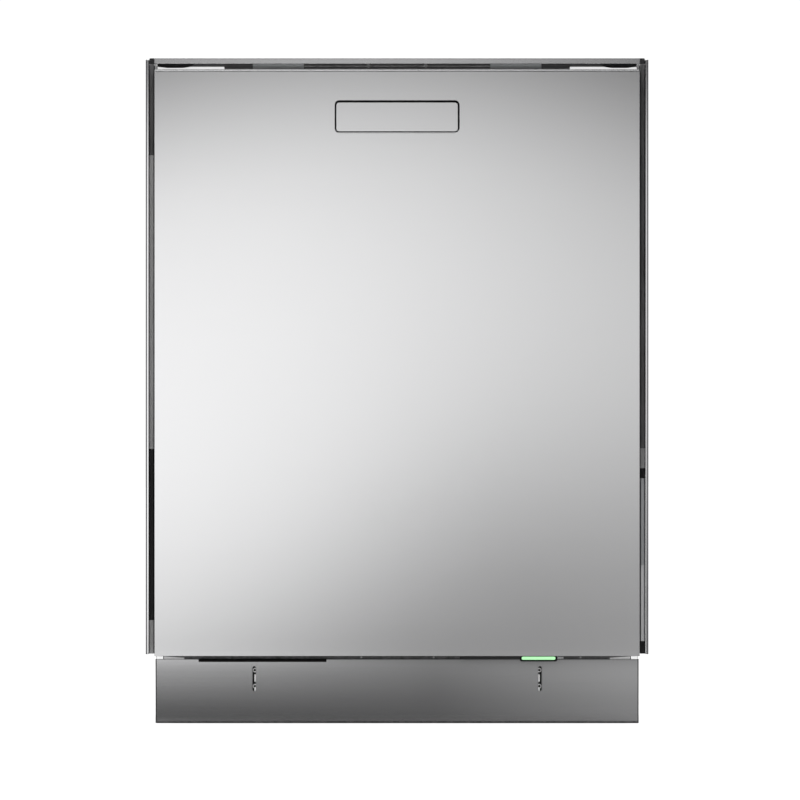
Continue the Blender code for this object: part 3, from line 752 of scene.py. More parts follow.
def make_slots():
    """Each plinth slot's screws and bracket, glowing with painted light, the painted shade of the sockets,
    and its collar.
    """
    face = PLINTH_LOW.y
    slot_x = (SCREW_LOW.x + SCREW_HIGH.x) / 2
    upper = (SCREW_LOW.z + SCREW_HIGH.z) / 2 - 0.0011
    lower = upper - 0.0198
    head_face = face + 0.0004
    levels = {
        "upper": (upper, lower + 0.0055, upper - 0.0053),
        "lower": (lower, lower - 0.0058, lower - 0.0027),
    }
    slot_low, slot_high = lower - 0.0060, upper + 0.0048
    for word, side in SIDES.items():
        centre = side * slot_x
        for level, (z, low, high) in levels.items():
            replaced = (f"plinth_screw_{word}",) if level == "upper" else ()
            # Painted light: the screw heads and brackets glow so they read bright inside the shaded slot.
            head = screw_head("Y", (centre - side * 0.0011, 0, z), 0.0027, head_face, 0.0030)
            piece(f"slot_screw_{word}_{level}", head, "screw_light", "cabinet", replaces=replaced)
            # Painted shade: a black disc on each screw head stands for the shade inside its socket.
            socket_place = (centre - side * 0.0007, 0, z)
            socket = disc("Y", socket_place, 0.0016, head_face - 0.0003, head_face + 0.0006, sides=8)
            piece(f"slot_socket_shade_{word}_{level}", socket, "deep_black", "cabinet")
            bracket = sided(block(0.0002, 0.0023, head_face, face + 0.0040, low, high), -side)
            bmesh.ops.translate(bracket, verts=bracket.verts, vec=(centre, 0, 0))
            piece(f"slot_bracket_{word}_{level}", bracket, "screw_light", "cabinet", edge=0.0003)
        collar = slab(centre - 0.0030, centre + 0.0030, slot_low - 0.0036, slot_high + 0.0044, 0.003,
                      "Y", face - 0.0002, face + 0.0008, 4)
        opening = slab(centre - 0.0021, centre + 0.0021, slot_low, slot_high, 0.0020,
                       "Y", face - 0.01, face + 0.01, 4)
        piece(f"slot_collar_{word}", bored(collar, [opening]), "plinth_steel", "cabinet")


def make_plinth_details():
    """The plinth's dark edges and floor seal, and what closes the gap over it: liner, glowing pads of painted
    light, bar, screws.
    """
    dress("plinth_steel", 0.0006, "plinth")
    face, top = PLINTH_LOW.y, PLINTH_HIGH.z
    pad = block(0.2880, 0.2962, face + 0.0006, face + 0.0036, top + 0.0001, top + 0.0038)
    # Painted light: the pads in the gap glow white though they are no lamps.
    pair("plinth_pad_{}", pad, "white_pad", "cabinet", edge=0.0004)
    edge = block(PLINTH_HIGH.x - 0.0010, PLINTH_HIGH.x + 0.0003, face - 0.0003, face + 0.0120, 0.0004, top)
    pair("plinth_edge_{}", edge, "rubber", "cabinet", edge=0.0003)
    seal = prism(
        [(face - 0.0006, 0.0003), (face + 0.0100, 0.0003), (face + 0.0100, 0.0010), (face - 0.0001, 0.0024),
         (face - 0.0006, 0.0020)], "X", PLINTH_LOW.x + 0.0004, PLINTH_HIGH.x - 0.0004)
    piece("plinth_seal", seal, "channel_dark", "cabinet")
    liner = block(-0.2870, 0.2870, face - 0.0002, face + 0.0040, top + 0.0002, top + 0.0042)
    piece("gap_liner", liner, "channel_dark", "cabinet", edge=0.0004)
    wedge = prism([(0.2620, 0.0794), (0.2870, 0.0794), (0.2870, 0.0822), (0.2620, 0.0806)],
                  "Y", face - 0.0012, face - 0.0003)
    # Painted light: the pale wedges in the gap glow though they are no lamps.
    pair("gap_wedge_{}", wedge, "screw_light", "cabinet", edge=0.0002)
    bar = slab(-0.2445, -0.0870, 0.0755, 0.0789, 0.0008, "Y", face - 0.0030, face - 0.0004)
    piece("plinth_bar", bar, "deep_black", "cabinet", edge=0.0003)
    for number, x in enumerate((-0.044, 0.045, 0.226), start=1):
        head = screw_head("Y", (x, 0, 0.0812), 0.0013, face - 0.0012, 0.0011, 12)
        piece(f"gap_screw_{number}", head, "pale_plastic", "cabinet")


def make_status_lamp():
    """The pale green lamp under the door in its dark holder, with the cable guide and a clip beside it."""
    left, right = LIGHT_LOW.x, LIGHT_HIGH.x
    front, rear = LIGHT_LOW.y, LIGHT_HIGH.y
    middle = (LIGHT_LOW.z + LIGHT_HIGH.z) / 2 + 0.0002
    half = 0.0019
    lens = slab(left, right, middle - half, middle + half, half * 0.95, "Y", front - 0.0006, rear - 0.0010, 8)
    piece("lamp_lens", lens, "green_lens", "door", edge=0.0004, replaces=("status_light",))
    holder = slab(left - 0.0018, right + 0.0022, LIGHT_LOW.z - 0.0014, LIGHT_HIGH.z + 0.0002, 0.002,
                  "Y", front + 0.0002, rear)
    piece("lamp_holder", holder, "deep_black", "door", edge=0.0003)
    guide = block(left - 0.0760, left - 0.0019, front + 0.0010, rear, 0.0797, 0.0831)
    piece("lamp_guide", guide, "black_plastic", "door", edge=0.0004)
    clip = block(right + 0.0023, right + 0.0100, front + 0.0012, rear, 0.0802, 0.0826)
    piece("lamp_clip", clip, "pale_plastic", "door", edge=0.0004)


make_door_trim()
make_top_strip()
make_channels()
make_slots()
make_plinth_details()
make_status_lamp()


# ---------------------------------------------------------------------------------------------------------
# Baskets and their wheels
# ---------------------------------------------------------------------------------------------------------

WIRE = 0.0018
RIM_WIRE = 0.0027
WIRE_BEND = 0.012


def bent(points, radius, steps=3):
    """A path of straight runs with each corner rounded off."""
    path = [Vector(p) for p in points]
    rounded = [path[0]]
    for before, corner, after in zip(path, path[1:], path[2:]):
        inward, outward = (before - corner).normalized(), (after - corner).normalized()
        start, end = corner + inward * radius, corner + outward * radius
        for step in range(steps + 1):
            t = step / steps
            rounded.append(start * (1 - t) ** 2 + corner * (2 * t * (1 - t)) + end * t ** 2)
    rounded.append(path[-1])
    return rounded


def loop(half, front, rear, z, radius, wire):
    """A closed ring of wire round a basket."""
    outline = rounded_rectangle(-half, half, front, rear, radius, 4)
    return tube([(x, y, z) for x, y in outline], wire, closed=True)


def spread(first, last, spacing):
    """Places from first to last, as near the spacing as fits evenly."""
    count = max(1, round((last - first) / spacing))
    return [first + (last - first) * i / count for i in range(count + 1)]


def bent_wires(places, path_at, radius, wire):
    """A wire at each place, through the points that path_at gives there, bent with a radius."""
    return [tube(bent(path_at(place), radius), wire, sides=6) for place in places]


def basket_wires(half, front, rear, floor, top, across, along, rings):
    """A basket's rings and the U-shaped wires that run across and along its floor and up its walls."""
    shapes = [loop(half, front, rear, top, 0.030, RIM_WIRE)]
    inner = half - RIM_WIRE - WIRE * 0.5
    shapes += [loop(inner + WIRE, front + WIRE * 2, rear - WIRE * 2, z, 0.028, WIRE) for z in rings]
    shapes += bent_wires(
        spread(front + 0.034, rear - 0.034, across),
        lambda y: [(-inner, y, top), (-inner, y, floor), (inner, y, floor), (inner, y, top)], WIRE_BEND, WIRE)
    near, far = front + RIM_WIRE, rear - RIM_WIRE
    base = floor + WIRE * 1.8
    shapes += bent_wires(
        spread(-half + 0.036, half - 0.036, along),
        lambda x: [(x, near, top), (x, near, base), (x, far, base), (x, far, top)], WIRE_BEND, WIRE)
    return shapes


def tine_row(x, front, rear, floor, height, spacing, lean):
    """A row of plate tines standing on one long wire; each leans towards the rear."""
    knee, tip = floor + height * 0.3, floor + height
    return [tube([(x, front, floor), (x, rear, floor)], WIRE * 1.15, sides=6)] + bent_wires(
        spread(front + 0.008, rear - 0.012, spacing),
        lambda y: [(x, y, floor), (x, y, knee), (x, y + lean, tip)], height * 0.12, WIRE)


def grip(half, y, z, height, depth):
    """A moulded handle on a basket's front rim: a bar with a finger hollow under it."""
    bar = slab(y, y + depth, z - height, z, min(depth, height) * 0.32, "X", -half, half, 3)
    hollow = slab(-half * 0.72, half * 0.72, z - height * 0.72, z - height * 0.25, height * 0.2,
                  "Y", y - 0.01, y + depth * 0.72, 4)
    return bored(bar, [hollow])


def make_lower_basket():
    """The lower wire basket: walls, plate tines, handle and wheel hangers."""
    low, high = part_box("lower_rack")
    half, front, rear, top = high.x, low.y + RIM_WIRE, high.y - RIM_WIRE, high.z - RIM_WIRE
    floor = 0.1762
    shapes = basket_wires(half - RIM_WIRE, front, rear, floor, top, 0.030, 0.035, (0.2200, 0.2700))
    tine_floor = floor + WIRE * 3.2
    for x in (-0.205, -0.135, -0.060, 0.010):
        shapes += tine_row(x, front + 0.030, rear - 0.030, tine_floor, 0.082, 0.026, 0.016)
    for x in (0.085, 0.150, 0.215):
        shapes += tine_row(x, front + 0.030, rear - 0.030, tine_floor, 0.052, 0.033, 0.010)
    piece("lower_basket", merged(shapes), "coated_wire", "lower_rack", replaces=("lower_rack",))
    handle = grip(0.085, front - 0.0024, top + 0.0020, 0.024, 0.013)
    piece("lower_basket_grip", handle, "grey_plastic", "lower_rack")
    for end in ("front", "rear"):
        wheel_low, wheel_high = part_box(f"wheel_{end}_right")
        y, z = (wheel_low.y + wheel_high.y) / 2, (wheel_low.z + wheel_high.z) / 2
        outline = [(y - 0.0065, 0.1790), (y + 0.0065, 0.1790), (y + 0.0055, z)]
        outline += arc((y, z), 0.0055, 0, -180, 6)
        plate = prism(outline, "X", 0.2487, 0.2533)
        hook = block(0.2470, 0.2545, y - 0.010, y + 0.010, 0.1745, 0.1845)
        axle = disc("X", (0, y, z), 0.0030, wheel_low.x - 0.0012, 0.2500, sides=12, edge=0.0005)
        name = f"wheel_hanger_{end}_" + "{}"
        pair(name, merged([plate, hook, axle]), "grey_plastic", "lower_rack", edge=0.0006)


def wheel_shape(low, high):
    """A moulded wheel along X with a grooved tread, a dished web with holes and a raised hub."""
    centre = (low + high) / 2
    radius = (high.z - low.z) / 2
    half = (high.x - low.x) / 2
    bore = 0.0034
    web = half * 0.35
    profile = [(-half, bore), (-half, radius * 0.36), (-web, radius * 0.40), (-web, radius * 0.74)]
    profile += [(-half, radius * 0.80), (-half, radius * 0.95), (-half * 0.75, radius)]
    profile += [(-half * 0.20, radius), (0, radius * 0.965), (half * 0.20, radius)]
    profile += [(half * 0.75, radius), (half, radius * 0.95), (half, radius * 0.80)]
    profile += [(web, radius * 0.74), (web, radius * 0.40), (half, radius * 0.36), (half, bore)]
    shape = lathe("X", centre, profile, 36)
    for face in [f for f in shape.faces if len(f.verts) > 4]:
        shape.faces.remove(face)
    ends = [e for e in shape.edges if e.is_boundary]
    bmesh.ops.bridge_loops(shape, edges=ends)
    holes = []
    for turn in range(6):
        angle = TURN * turn / 6
        place = centre + Vector((0, math.cos(angle), math.sin(angle))) * radius * 0.57
        holes.append(disc("X", place, radius * 0.11, -half * 2, half * 2, sides=12))
    return bored(shape, holes)


def make_wheels():
    """The lower basket's four wheels."""
    for end in ("front", "rear"):
        for word in SIDES:
            node = f"wheel_{end}_{word}"
            shape = wheel_shape(*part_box(node))
            piece(f"roller_{end}_{word}", shape, "grey_plastic", node, replaces=(node,))


def make_upper_basket():
    """The upper wire basket with its tines, cup shelves, handle and the runners in its rails."""
    low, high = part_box("upper_rack")
    half, front, rear, top = high.x, low.y + RIM_WIRE, high.y - RIM_WIRE, high.z - RIM_WIRE
    floor = low.z + WIRE * 1.2
    shapes = basket_wires(half - RIM_WIRE, front, rear, floor, top, 0.030, 0.033, (floor + 0.045,))
    for x in (-0.165, -0.045, 0.055, 0.165):
        shapes += tine_row(x, front + 0.030, rear - 0.030, floor + WIRE * 3.2, 0.040, 0.030, 0.010)
    piece("upper_basket", merged(shapes), "coated_wire", "upper_rack", replaces=("upper_rack",))
    handle = grip(0.085, front - 0.0024, top + 0.0020, 0.022, 0.013)
    piece("upper_basket_grip", handle, "grey_plastic", "upper_rack")
    for number, y in enumerate((-0.098, 0.095), start=1):
        slots = [block(0.176, 0.232, y - 0.064 + k * 0.022, y - 0.052 + k * 0.022, top - 0.02, top)
                 for k in range(6)]
        shelf = bored(block(0.168, 0.240, y - 0.070, y + 0.070, top - 0.010, top - 0.0075), slots)
        pair("cup_shelf_{}_" + str(number), shelf, "grey_plastic", "upper_rack", edge=0.0006)
    low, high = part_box("upper_rail_right")
    z = (low.z + high.z) / 2
    runner = slab(low.x + 0.0015, high.x - 0.0043, z - 0.0052, z + 0.0052, 0.0015,
                  "Y", low.y + 0.034, high.y - 0.004, 3)
    arms = [block(half - 0.004, low.x + 0.003, y - 0.010, y + 0.010, z - 0.0040, z + 0.0040)
            for y in (-0.150, 0.0, 0.130)]
    pair("rail_runner_{}", merged([runner] + arms), "zinc_steel", "upper_rack", edge=0.0005)
    stop = block(low.x - 0.001, high.x + 0.0004, low.y - 0.006, low.y + 0.004,
                 low.z - 0.0015, high.z + 0.0015)
    gap = block(low.x - 0.01, high.x - 0.0030, low.y - 0.02, low.y + 0.02, low.z + 0.0038, high.z - 0.0038)
    pair("rail_stop_{}", bored(stop, [gap]), "grey_plastic", "cabinet", edge=0.0006)


def make_cutlery_tray():
    """The flat top tray: a fine wire grid with rows of short dividers, a handle and rests at its sides."""
    low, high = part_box("cutlery_tray")
    thin = 0.0013
    half, front, rear, top = high.x - thin, low.y + RIM_WIRE, high.y - RIM_WIRE, high.z - RIM_WIRE
    floor = low.z + thin
    shapes = [loop(half - 0.001, front, rear, top, 0.022, RIM_WIRE * 0.8)]
    wide, narrow, base = half - 0.002, half - 0.004, floor + thin * 2
    shapes += bent_wires(
        spread(front + 0.012, rear - 0.012, 0.015),
        lambda y: [(-wide, y, top), (-narrow, y, floor), (narrow, y, floor), (wide, y, top)], 0.007, thin)
    shapes += bent_wires(
        spread(-half + 0.016, half - 0.016, 0.040),
        lambda x: [(x, front, top), (x, front, base), (x, rear, base), (x, rear, top)], 0.007, thin)
    for x in (-0.180, -0.100, 0.100, 0.180):
        places = [(x, y) for y in spread(front + 0.020, rear - 0.020, 0.015)]
        shapes += pegs(places, floor, floor + 0.017, thin)
    piece("cutlery_grid", merged(shapes), "coated_wire", "cutlery_tray", replaces=("cutlery_tray",))
    rest = block(half - 0.0035, half + 0.0012, front + 0.10, rear - 0.10, top - 0.016, top + 0.0012)
    pair("tray_rest_{}", rest, "grey_plastic", "cutlery_tray", edge=0.0010)
    handle = grip(0.070, front - 0.0022, top + 0.0018, 0.017, 0.010)
    piece("tray_grip", handle, "grey_plastic", "cutlery_tray")


# ---------------------------------------------------------------------------------------------------------
# Water: spray arms, filter, salt cap
# ---------------------------------------------------------------------------------------------------------

ARM_LOW, ARM_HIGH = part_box("lower_arm")
ARM_Y = (ARM_LOW.y + ARM_HIGH.y) / 2
ARM_THICK = 0.0100
ARM_TIP, ARM_ROOT = 0.0115, 0.0215


def wing_section(t):
    """The outline of a spray arm's wing, (y, z) pairs, at a share of its length."""
    width = ARM_ROOT + (ARM_TIP - ARM_ROOT) * t
    if t > 0.9:
        width *= math.sqrt(max(0.05, 1 - ((t - 0.9) / 0.115) ** 2))
    ridge = ARM_THICK if t < 0.9 else ARM_THICK * (0.5 + 0.5 * (1 - t) / 0.1)
    profile = [(-width, 0.0030), (-width * 0.86, 0.0008), (-width * 0.5, 0.0), (width * 0.5, 0.0)]
    profile += [(width * 0.86, 0.0008), (width, 0.0030), (width * 0.80, ridge * 0.62), (width * 0.35, ridge)]
    return profile + [(-width * 0.35, ridge), (-width * 0.80, ridge * 0.62)]


def wing_shape(length, bottom, turn):
    """One wing of a spray arm, turned about the hub."""
    steps = 12
    wing = bmesh.new()
    sections = []
    for i in range(steps + 1):
        t = i / steps
        sections.append([wing.verts.new((t * (length - ARM_TIP * 0.25), y, z)) for y, z in wing_section(t)])
    for first, second in zip(sections, sections[1:]):
        for k in range(len(first)):
            following = (k + 1) % len(first)
            wing.faces.new((first[k], first[following], second[following], second[k]))
    wing.faces.new(sections[0])
    wing.faces.new(sections[-1])
    bmesh.ops.recalc_face_normals(wing, faces=wing.faces)
    place = Matrix.Translation((0, ARM_Y, bottom)) @ Matrix.Rotation(turn, 4, "Z")
    bmesh.ops.transform(wing, matrix=place, verts=wing.verts)
    return wing


def make_spray_arm(name, hub_up):
    """A moulded arm with a ridge along each wing, jets on its washing face and a round hub."""
    low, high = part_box(name)
    length, bottom, rise = high.x, low.z, high.z - low.z
    shapes = [wing_shape(length, bottom, turn) for turn in (0, math.pi)]
    shapes.append(lathe("Z", (0, ARM_Y, bottom), [
        (0.0, 0.0), (0.0, 0.0240), (0.0030, 0.0255), (ARM_THICK, 0.0235), (ARM_THICK + 0.0012, 0.0160),
        (rise - 0.0010, 0.0150), (rise, 0.0135), (rise, 0.0)], 36))
    piece(f"{name}_wings", merged(shapes), "grey_plastic", name, replaces=(name,))
    jets, slits = [], []
    face = bottom + (ARM_THICK if hub_up else 0.0)
    out = 1 if hub_up else -1
    for turn in (0, math.pi):
        for number, share in enumerate((0.26, 0.40, 0.54, 0.68, 0.80, 0.90)):
            x = length * share * math.cos(turn)
            y = ARM_Y + 0.0022 * (-1) ** number
            profile = [(-0.0008 * out, 0.0046), (0.0006 * out, 0.0042), (0.0010 * out, 0.0034)]
            jets.append(lathe("Z", (x, y, face), profile, 16))
            slits.append(slab(x - 0.0007, x + 0.0007, y - 0.0026, y + 0.0026, 0.0006,
                              "Z", face + 0.0008 * out, face + 0.0012 * out, 2))
    piece(f"{name}_jets", merged(jets), "grey_plastic", name)
    piece(f"{name}_slits", merged(slits), "rubber", name)


FILTER_LOW, FILTER_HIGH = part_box("filter_cylinder")
FILTER_Y = (FILTER_LOW.y + FILTER_HIGH.y) / 2


def make_filter_plate():
    """The holes in the filter plate and its raised rim."""
    low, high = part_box("filter_plate")
    middle = (low.y + high.y) / 2
    pitch = 0.0075
    dots = []
    for row in range(-12, 13):
        for column in range(-13, 14):
            x = (column + 0.5 * (row % 2)) * pitch
            y = middle + row * pitch * 0.866
            inside = math.hypot(x, y - middle) < high.x - 0.006
            off_filter = math.hypot(x, y - FILTER_Y) > FILTER_HIGH.x + 0.006
            if inside and off_filter and math.hypot(x, y - ARM_Y) > 0.019:
                dots.append(disc("Z", (x, y, high.z), 0.0013, -0.0002, 0.00012, sides=6))
    piece("filter_holes", merged(dots), "rubber", "cabinet")
    path = [(x, y, high.z) for x, y in arc((0, middle), high.x - 0.0015, 0, 352.5, 47)]
    piece("filter_rim", tube(path, 0.0012, closed=True), "tub_steel", "cabinet")


def make_filter_cup():
    """The filter cylinder with its turning handle and ribbed rim."""
    radius, rim = FILTER_HIGH.x, FILTER_HIGH.z - 0.0135
    cup = lathe("Z", (0, FILTER_Y, 0), [
        (0.0730, radius - 0.0055), (0.0730, radius - 0.0010), (0.0780, radius), (rim - 0.004, radius),
        (rim - 0.001, radius), (rim, radius - 0.0015), (rim, radius - 0.0050), (rim - 0.006, radius - 0.0055),
        (rim - 0.006, 0.0)], 40)
    bar = slab(-radius + 0.004, radius - 0.004, rim - 0.007, FILTER_HIGH.z, 0.006,
               "Y", FILTER_Y - 0.0036, FILTER_Y + 0.0036, 4)
    places = around(18, (0, FILTER_Y), radius - 0.0030)
    places = [(x, y) for x, y in places if abs(y - FILTER_Y) > 0.006]
    shapes = [cup, bar] + pegs(places, rim - 0.007, rim + 0.0006, 0.0012)
    piece("filter_cup", merged(shapes), "grey_plastic", "filter", edge=0.0004, replaces=("filter_cylinder",))


def make_salt_lid():
    """The softener's screw cap with its grip bar and toothed edge."""
    low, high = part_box("salt_cap")
    centre = (low + high) / 2
    radius, rise = (high.x - low.x) / 2, 0.0076
    cap = lathe("Z", (centre.x, centre.y, low.z), [
        (0, 0.0), (0, radius - 0.0010), (0.0012, radius), (0.0040, radius), (0.0062, radius - 0.0030),
        (rise, radius - 0.0080), (rise, 0.0)], 44)
    tab = slab(centre.x - 0.026, centre.x + 0.026, low.z + 0.004, high.z, 0.005,
               "Y", centre.y - 0.0040, centre.y + 0.0040, 4)
    teeth = pegs(around(24, centre, radius - 0.0004), low.z + 0.0010, low.z + 0.0042, 0.0010)
    piece("salt_lid", merged([cap, tab] + teeth), "grey_plastic", "salt_cap", edge=0.0005,
          replaces=("salt_cap",))


make_lower_basket()
make_wheels()
make_upper_basket()
make_cutlery_tray()
make_spray_arm("lower_arm", True)
make_spray_arm("middle_arm", True)
make_spray_arm("top_arm", False)
make_filter_plate()
make_filter_cup()
make_salt_lid()


# ---------------------------------------------------------------------------------------------------------
# Inside of the door
# ---------------------------------------------------------------------------------------------------------


def ring(span, z0, z1, width, radius, axis, start, end):
    """A raised frame: a rounded rectangle with a smaller one taken out, along an axis."""
    u0, u1 = span
    outer = slab(u0, u1, z0, z1, radius, axis, start, end, 6)
    over = abs(end - start)
    inner = slab(u0 + width, u1 - width, z0 + width, z1 - width, max(radius - width, 0.002), axis,
                 min(start, end) - over, max(start, end) + over, 6)
    return bored(outer, [inner])


def rings(spans, levels, width, radius, axis, start, end):
    """A raised frame for each span at each level."""
    return [ring(span, z0, z1, width, radius, axis, start, end) for span in spans for z0, z1 in levels]


def make_liner_details():
    """The pressed frames and ribs on the door's inner sheet, and the screws that hold it."""
    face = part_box("door_liner")[1].y
    frames = rings([(-0.262, 0.262)], [(0.158, 0.752)], 0.0075, 0.030, "Y", face - 0.0003, face + 0.0011)
    frames += rings([(-0.190, 0.190)], [(0.205, 0.385), (0.615, 0.715)], 0.0050, 0.022,
                    "Y", face - 0.0003, face + 0.0009)
    piece("liner_ribs", merged(frames), "tub_steel", "door", edge=0.0005)
    dress("tub_steel", 0.0008, "door_liner")
    heads = []
    for z in (0.185, 0.340, 0.500, 0.660, 0.750):
        head = screw_head("Y", (0.2905, 0, z), 0.0034, -face - 0.0017, 0.0018, 20)
        bmesh.ops.scale(head, vec=(1, -1, 1), verts=head.verts)
        bmesh.ops.reverse_faces(head, faces=head.faces)
        heads.append(head)
    pair("liner_screws_{}", merged(heads), "zinc_steel", "door")


def make_dispenser_body():
    """The detergent dispenser's raised rim, the rails of its lid and the rim of its cup."""
    low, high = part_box("dispenser_body")
    face = high.y
    dress("grey_plastic", 0.0007, "dispenser_body")
    shapes = [ring((low.x + 0.002, high.x - 0.002), low.z + 0.002, high.z - 0.002, 0.0028, 0.010,
                   "Y", face - 0.0002, face + 0.0010)]
    for z in (0.4866, 0.5613):
        shapes.append(block(-0.1140, 0.0740, face - 0.0002, face + 0.0034, z, z + 0.0021))
    piece("dispenser_rails", merged(shapes), "grey_plastic", "door", edge=0.0004)
    well = ring((-0.107, -0.013), 0.493, 0.557, 0.0020, 0.013, "Y", -0.2550, -0.2505)
    piece("dispenser_cup_rim", well, "pale_plastic", "door", edge=0.0004)


def make_detergent_lid():
    """The dispenser's sliding lid with its ribs and the notch of its catch."""
    low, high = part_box("dispenser_lid")
    plate = slab(low.x, high.x, low.z, high.z, 0.009, "Y", low.y, high.y, 6)
    ribs = [block(x, x + 0.0025, high.y - 0.0003, high.y + 0.0012, low.z + 0.014, high.z - 0.014)
            for x in (low.x + 0.012 + 0.006 * n for n in range(5))]
    notch = slab(high.x - 0.022, high.x - 0.008, 0.513, 0.537, 0.006, "Y", high.y - 0.0010, high.y + 0.01)
    piece("detergent_lid", merged([bored(plate, [notch])] + ribs), "grey_plastic", "dispenser_lid",
          edge=0.0005, replaces=("dispenser_lid",))


def make_rinse_lid():
    """The rinse-aid cap with its grip bar and toothed edge."""
    low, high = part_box("rinse_cap")
    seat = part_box("dispenser_body")[1].y + 0.0004
    radius = (high.x - low.x) / 2
    x, z = (low.x + high.x) / 2, (low.z + high.z) / 2
    cap = lathe("Y", (x, 0, z), [
        (low.y, 0.0), (low.y, 0.0105), (seat, 0.0105), (seat, radius - 0.0008), (seat + 0.0006, radius),
        (high.y - 0.0010, radius), (high.y, radius - 0.0012), (high.y, 0.0)], 40)
    bar = slab(x - 0.0130, x + 0.0130, z - 0.0026, z + 0.0026, 0.0024, "Y", high.y - 0.0005, high.y + 0.0022)
    teeth = [tube([(u, seat + 0.0006, v), (u, high.y - 0.0010, v)], 0.0007, sides=6)
             for u, v in around(28, (x, z), radius)]
    piece("rinse_lid", merged([cap, bar] + teeth), "blue_plastic", "rinse_cap", edge=0.0004,
          replaces=("rinse_cap",))


def make_control_details():
    """The hidden controls on the door's top edge: display, indicator lights, button caps and latch."""
    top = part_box("control_panel")[1].z
    dress("black_plastic", 0.0008, "control_panel")
    display = slab(0.060, 0.150, -0.2565, -0.2435, 0.002, "Z", top - 0.0004, top + 0.0003, 4)
    piece("display_window", display, "dark_gloss", "door", edge=0.0002)
    dots = [disc("Z", (-0.170 + 0.018 * number, -0.2500, 0), 0.0014, top - 0.0002, top + 0.0003, 14, 0.0002)
            for number in range(7)]
    piece("indicator_dots", merged(dots), "pale_plastic", "door")
    frames = rings([(x - 0.0122, x + 0.0122) for x in (-0.240, 0.240)], [(-0.2560, -0.2440)], 0.0016, 0.0055,
                   "Z", top - 0.0003, top + 0.0004)
    piece("button_frames", merged(frames), "dark_gloss", "door", edge=0.0002)
    for name in ("power_button", "start_button"):
        low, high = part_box(name)
        x, y = (low.x + high.x) / 2, (low.y + high.y) / 2
        cap = slab(low.x, high.x, low.y, high.y, 0.0038, "Z", low.z, high.z - 0.0004, 6)
        base = high.z - 0.0006
        if name == "power_button":
            mark = ring((x - 0.0020, x + 0.0020), y - 0.0020, y + 0.0020, 0.0006, 0.0019, "Z", base, high.z)
        else:
            mark = prism([(x - 0.0016, y - 0.0020), (x + 0.0022, y), (x - 0.0016, y + 0.0020)],
                         "Z", base, high.z)
        piece(f"{name}_cap", cap, "pale_plastic", name, edge=0.0005, replaces=(name,))
        piece(f"{name}_mark", mark, "rubber", name)
    low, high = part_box("door_latch")
    mouth = slab(-0.012, 0.012, low.z + 0.004, high.z - 0.004, 0.003, "Y", low.y + 0.003, high.y + 0.01, 4)
    jaw = bored(block(low.x, high.x, low.y, high.y, low.z, high.z), [mouth])
    tongue = disc("X", (0, high.y - 0.0030, low.z + 0.0040), 0.0026, -0.0125, 0.0125, sides=16, edge=0.0004)
    piece("latch_jaw", merged([jaw, tongue]), "zinc_steel", "door", edge=0.0006, replaces=("door_latch",))


# ---------------------------------------------------------------------------------------------------------
# Tub, seal, hinges and springs
# ---------------------------------------------------------------------------------------------------------

TUB_WALL = 0.0020


def make_tub_details():
    """The pressed frames on the tub's rear and side walls, its vent, and the clips of the water pipe."""
    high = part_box("tub")[1]
    rear, side_face = high.y - TUB_WALL, high.x - TUB_WALL
    frames = rings([(-0.235, -0.040), (0.040, 0.235)], [(0.185, 0.430), (0.470, 0.655)], 0.0060, 0.026,
                   "Y", rear - 0.0011, rear + 0.0003)
    piece("tub_rear_ribs", merged(frames), "tub_steel", "cabinet", edge=0.0005)
    ribs = merged([
        ring((-0.195, 0.180), 0.200, 0.455, 0.0060, 0.026, "X", side_face - 0.0011, side_face + 0.0003),
        ring((-0.195, 0.180), 0.560, 0.655, 0.0050, 0.022, "X", side_face - 0.0011, side_face + 0.0003)])
    pair("tub_side_ribs_{}", ribs, "tub_steel", "cabinet", edge=0.0005)
    vent_y = 0.110
    seat, crown = side_face + 0.0002, side_face - 0.0056
    vent = lathe("X", (0, vent_y, 0.607), [
        (seat, 0.0), (seat, 0.0290), (side_face - 0.0030, 0.0285), (side_face - 0.0050, 0.0260),
        (crown, 0.0230), (crown, 0.0)], 40)
    outer, inner = side_face - 0.0030, side_face - 0.010
    slits = [block(inner, outer, vent_y - reach, vent_y + reach, z - 0.0016, z + 0.0016)
             for z, reach in ((0.593, 0.014), (0.600, 0.018), (0.607, 0.019), (0.614, 0.018), (0.621, 0.014))]
    piece("tub_vent", bored(vent, slits), "grey_plastic", "cabinet", edge=0.0004)
    clips = [slab(-0.0225, 0.0225, z - 0.006, z + 0.006, 0.003, "Y", 0.1976, 0.2130, 4)
             for z in (0.235, 0.400, 0.560, 0.690)]
    piece("pipe_clips", merged(clips), "grey_plastic", "cabinet", edge=0.0006)
    dress("grey_plastic", 0.0020, "supply_pipe")
    dress("grey_plastic", 0.0015, "feed_pipe")


def make_gasket():
    """The door seal's rounded bulb along the outside of its flat foot."""
    low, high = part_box("door_gasket")
    reach = high.x + 0.0018
    path = [(-reach, low.z + 0.001), (-reach, high.z), (reach, high.z), (reach, low.z + 0.001)]
    bulb = tube(bent([(x, low.y + 0.0031, z) for x, z in path], 0.022, 5), 0.0029, sides=10)
    piece("gasket_bulb", bulb, "rubber", "cabinet")
    dress("rubber", 0.0012, "door_gasket")


def coil(y0, y1, x, z, radius, wire, pitch):
    """A helical spring along Y with a straight run of wire at each end."""
    turns = (y1 - y0 - 0.030) / pitch
    steps = int(turns * 10)
    points = [(x, y0, z), (x, y0 + 0.012, z)]
    for step in range(steps + 1):
        angle = TURN * step / 10
        y = y0 + 0.015 + pitch * step / 10
        points.append((x + radius * math.cos(angle), y, z + radius * math.sin(angle)))
    points += [(x, y1 - 0.012, z), (x, y1, z)]
    return tube(points, wire, sides=6)


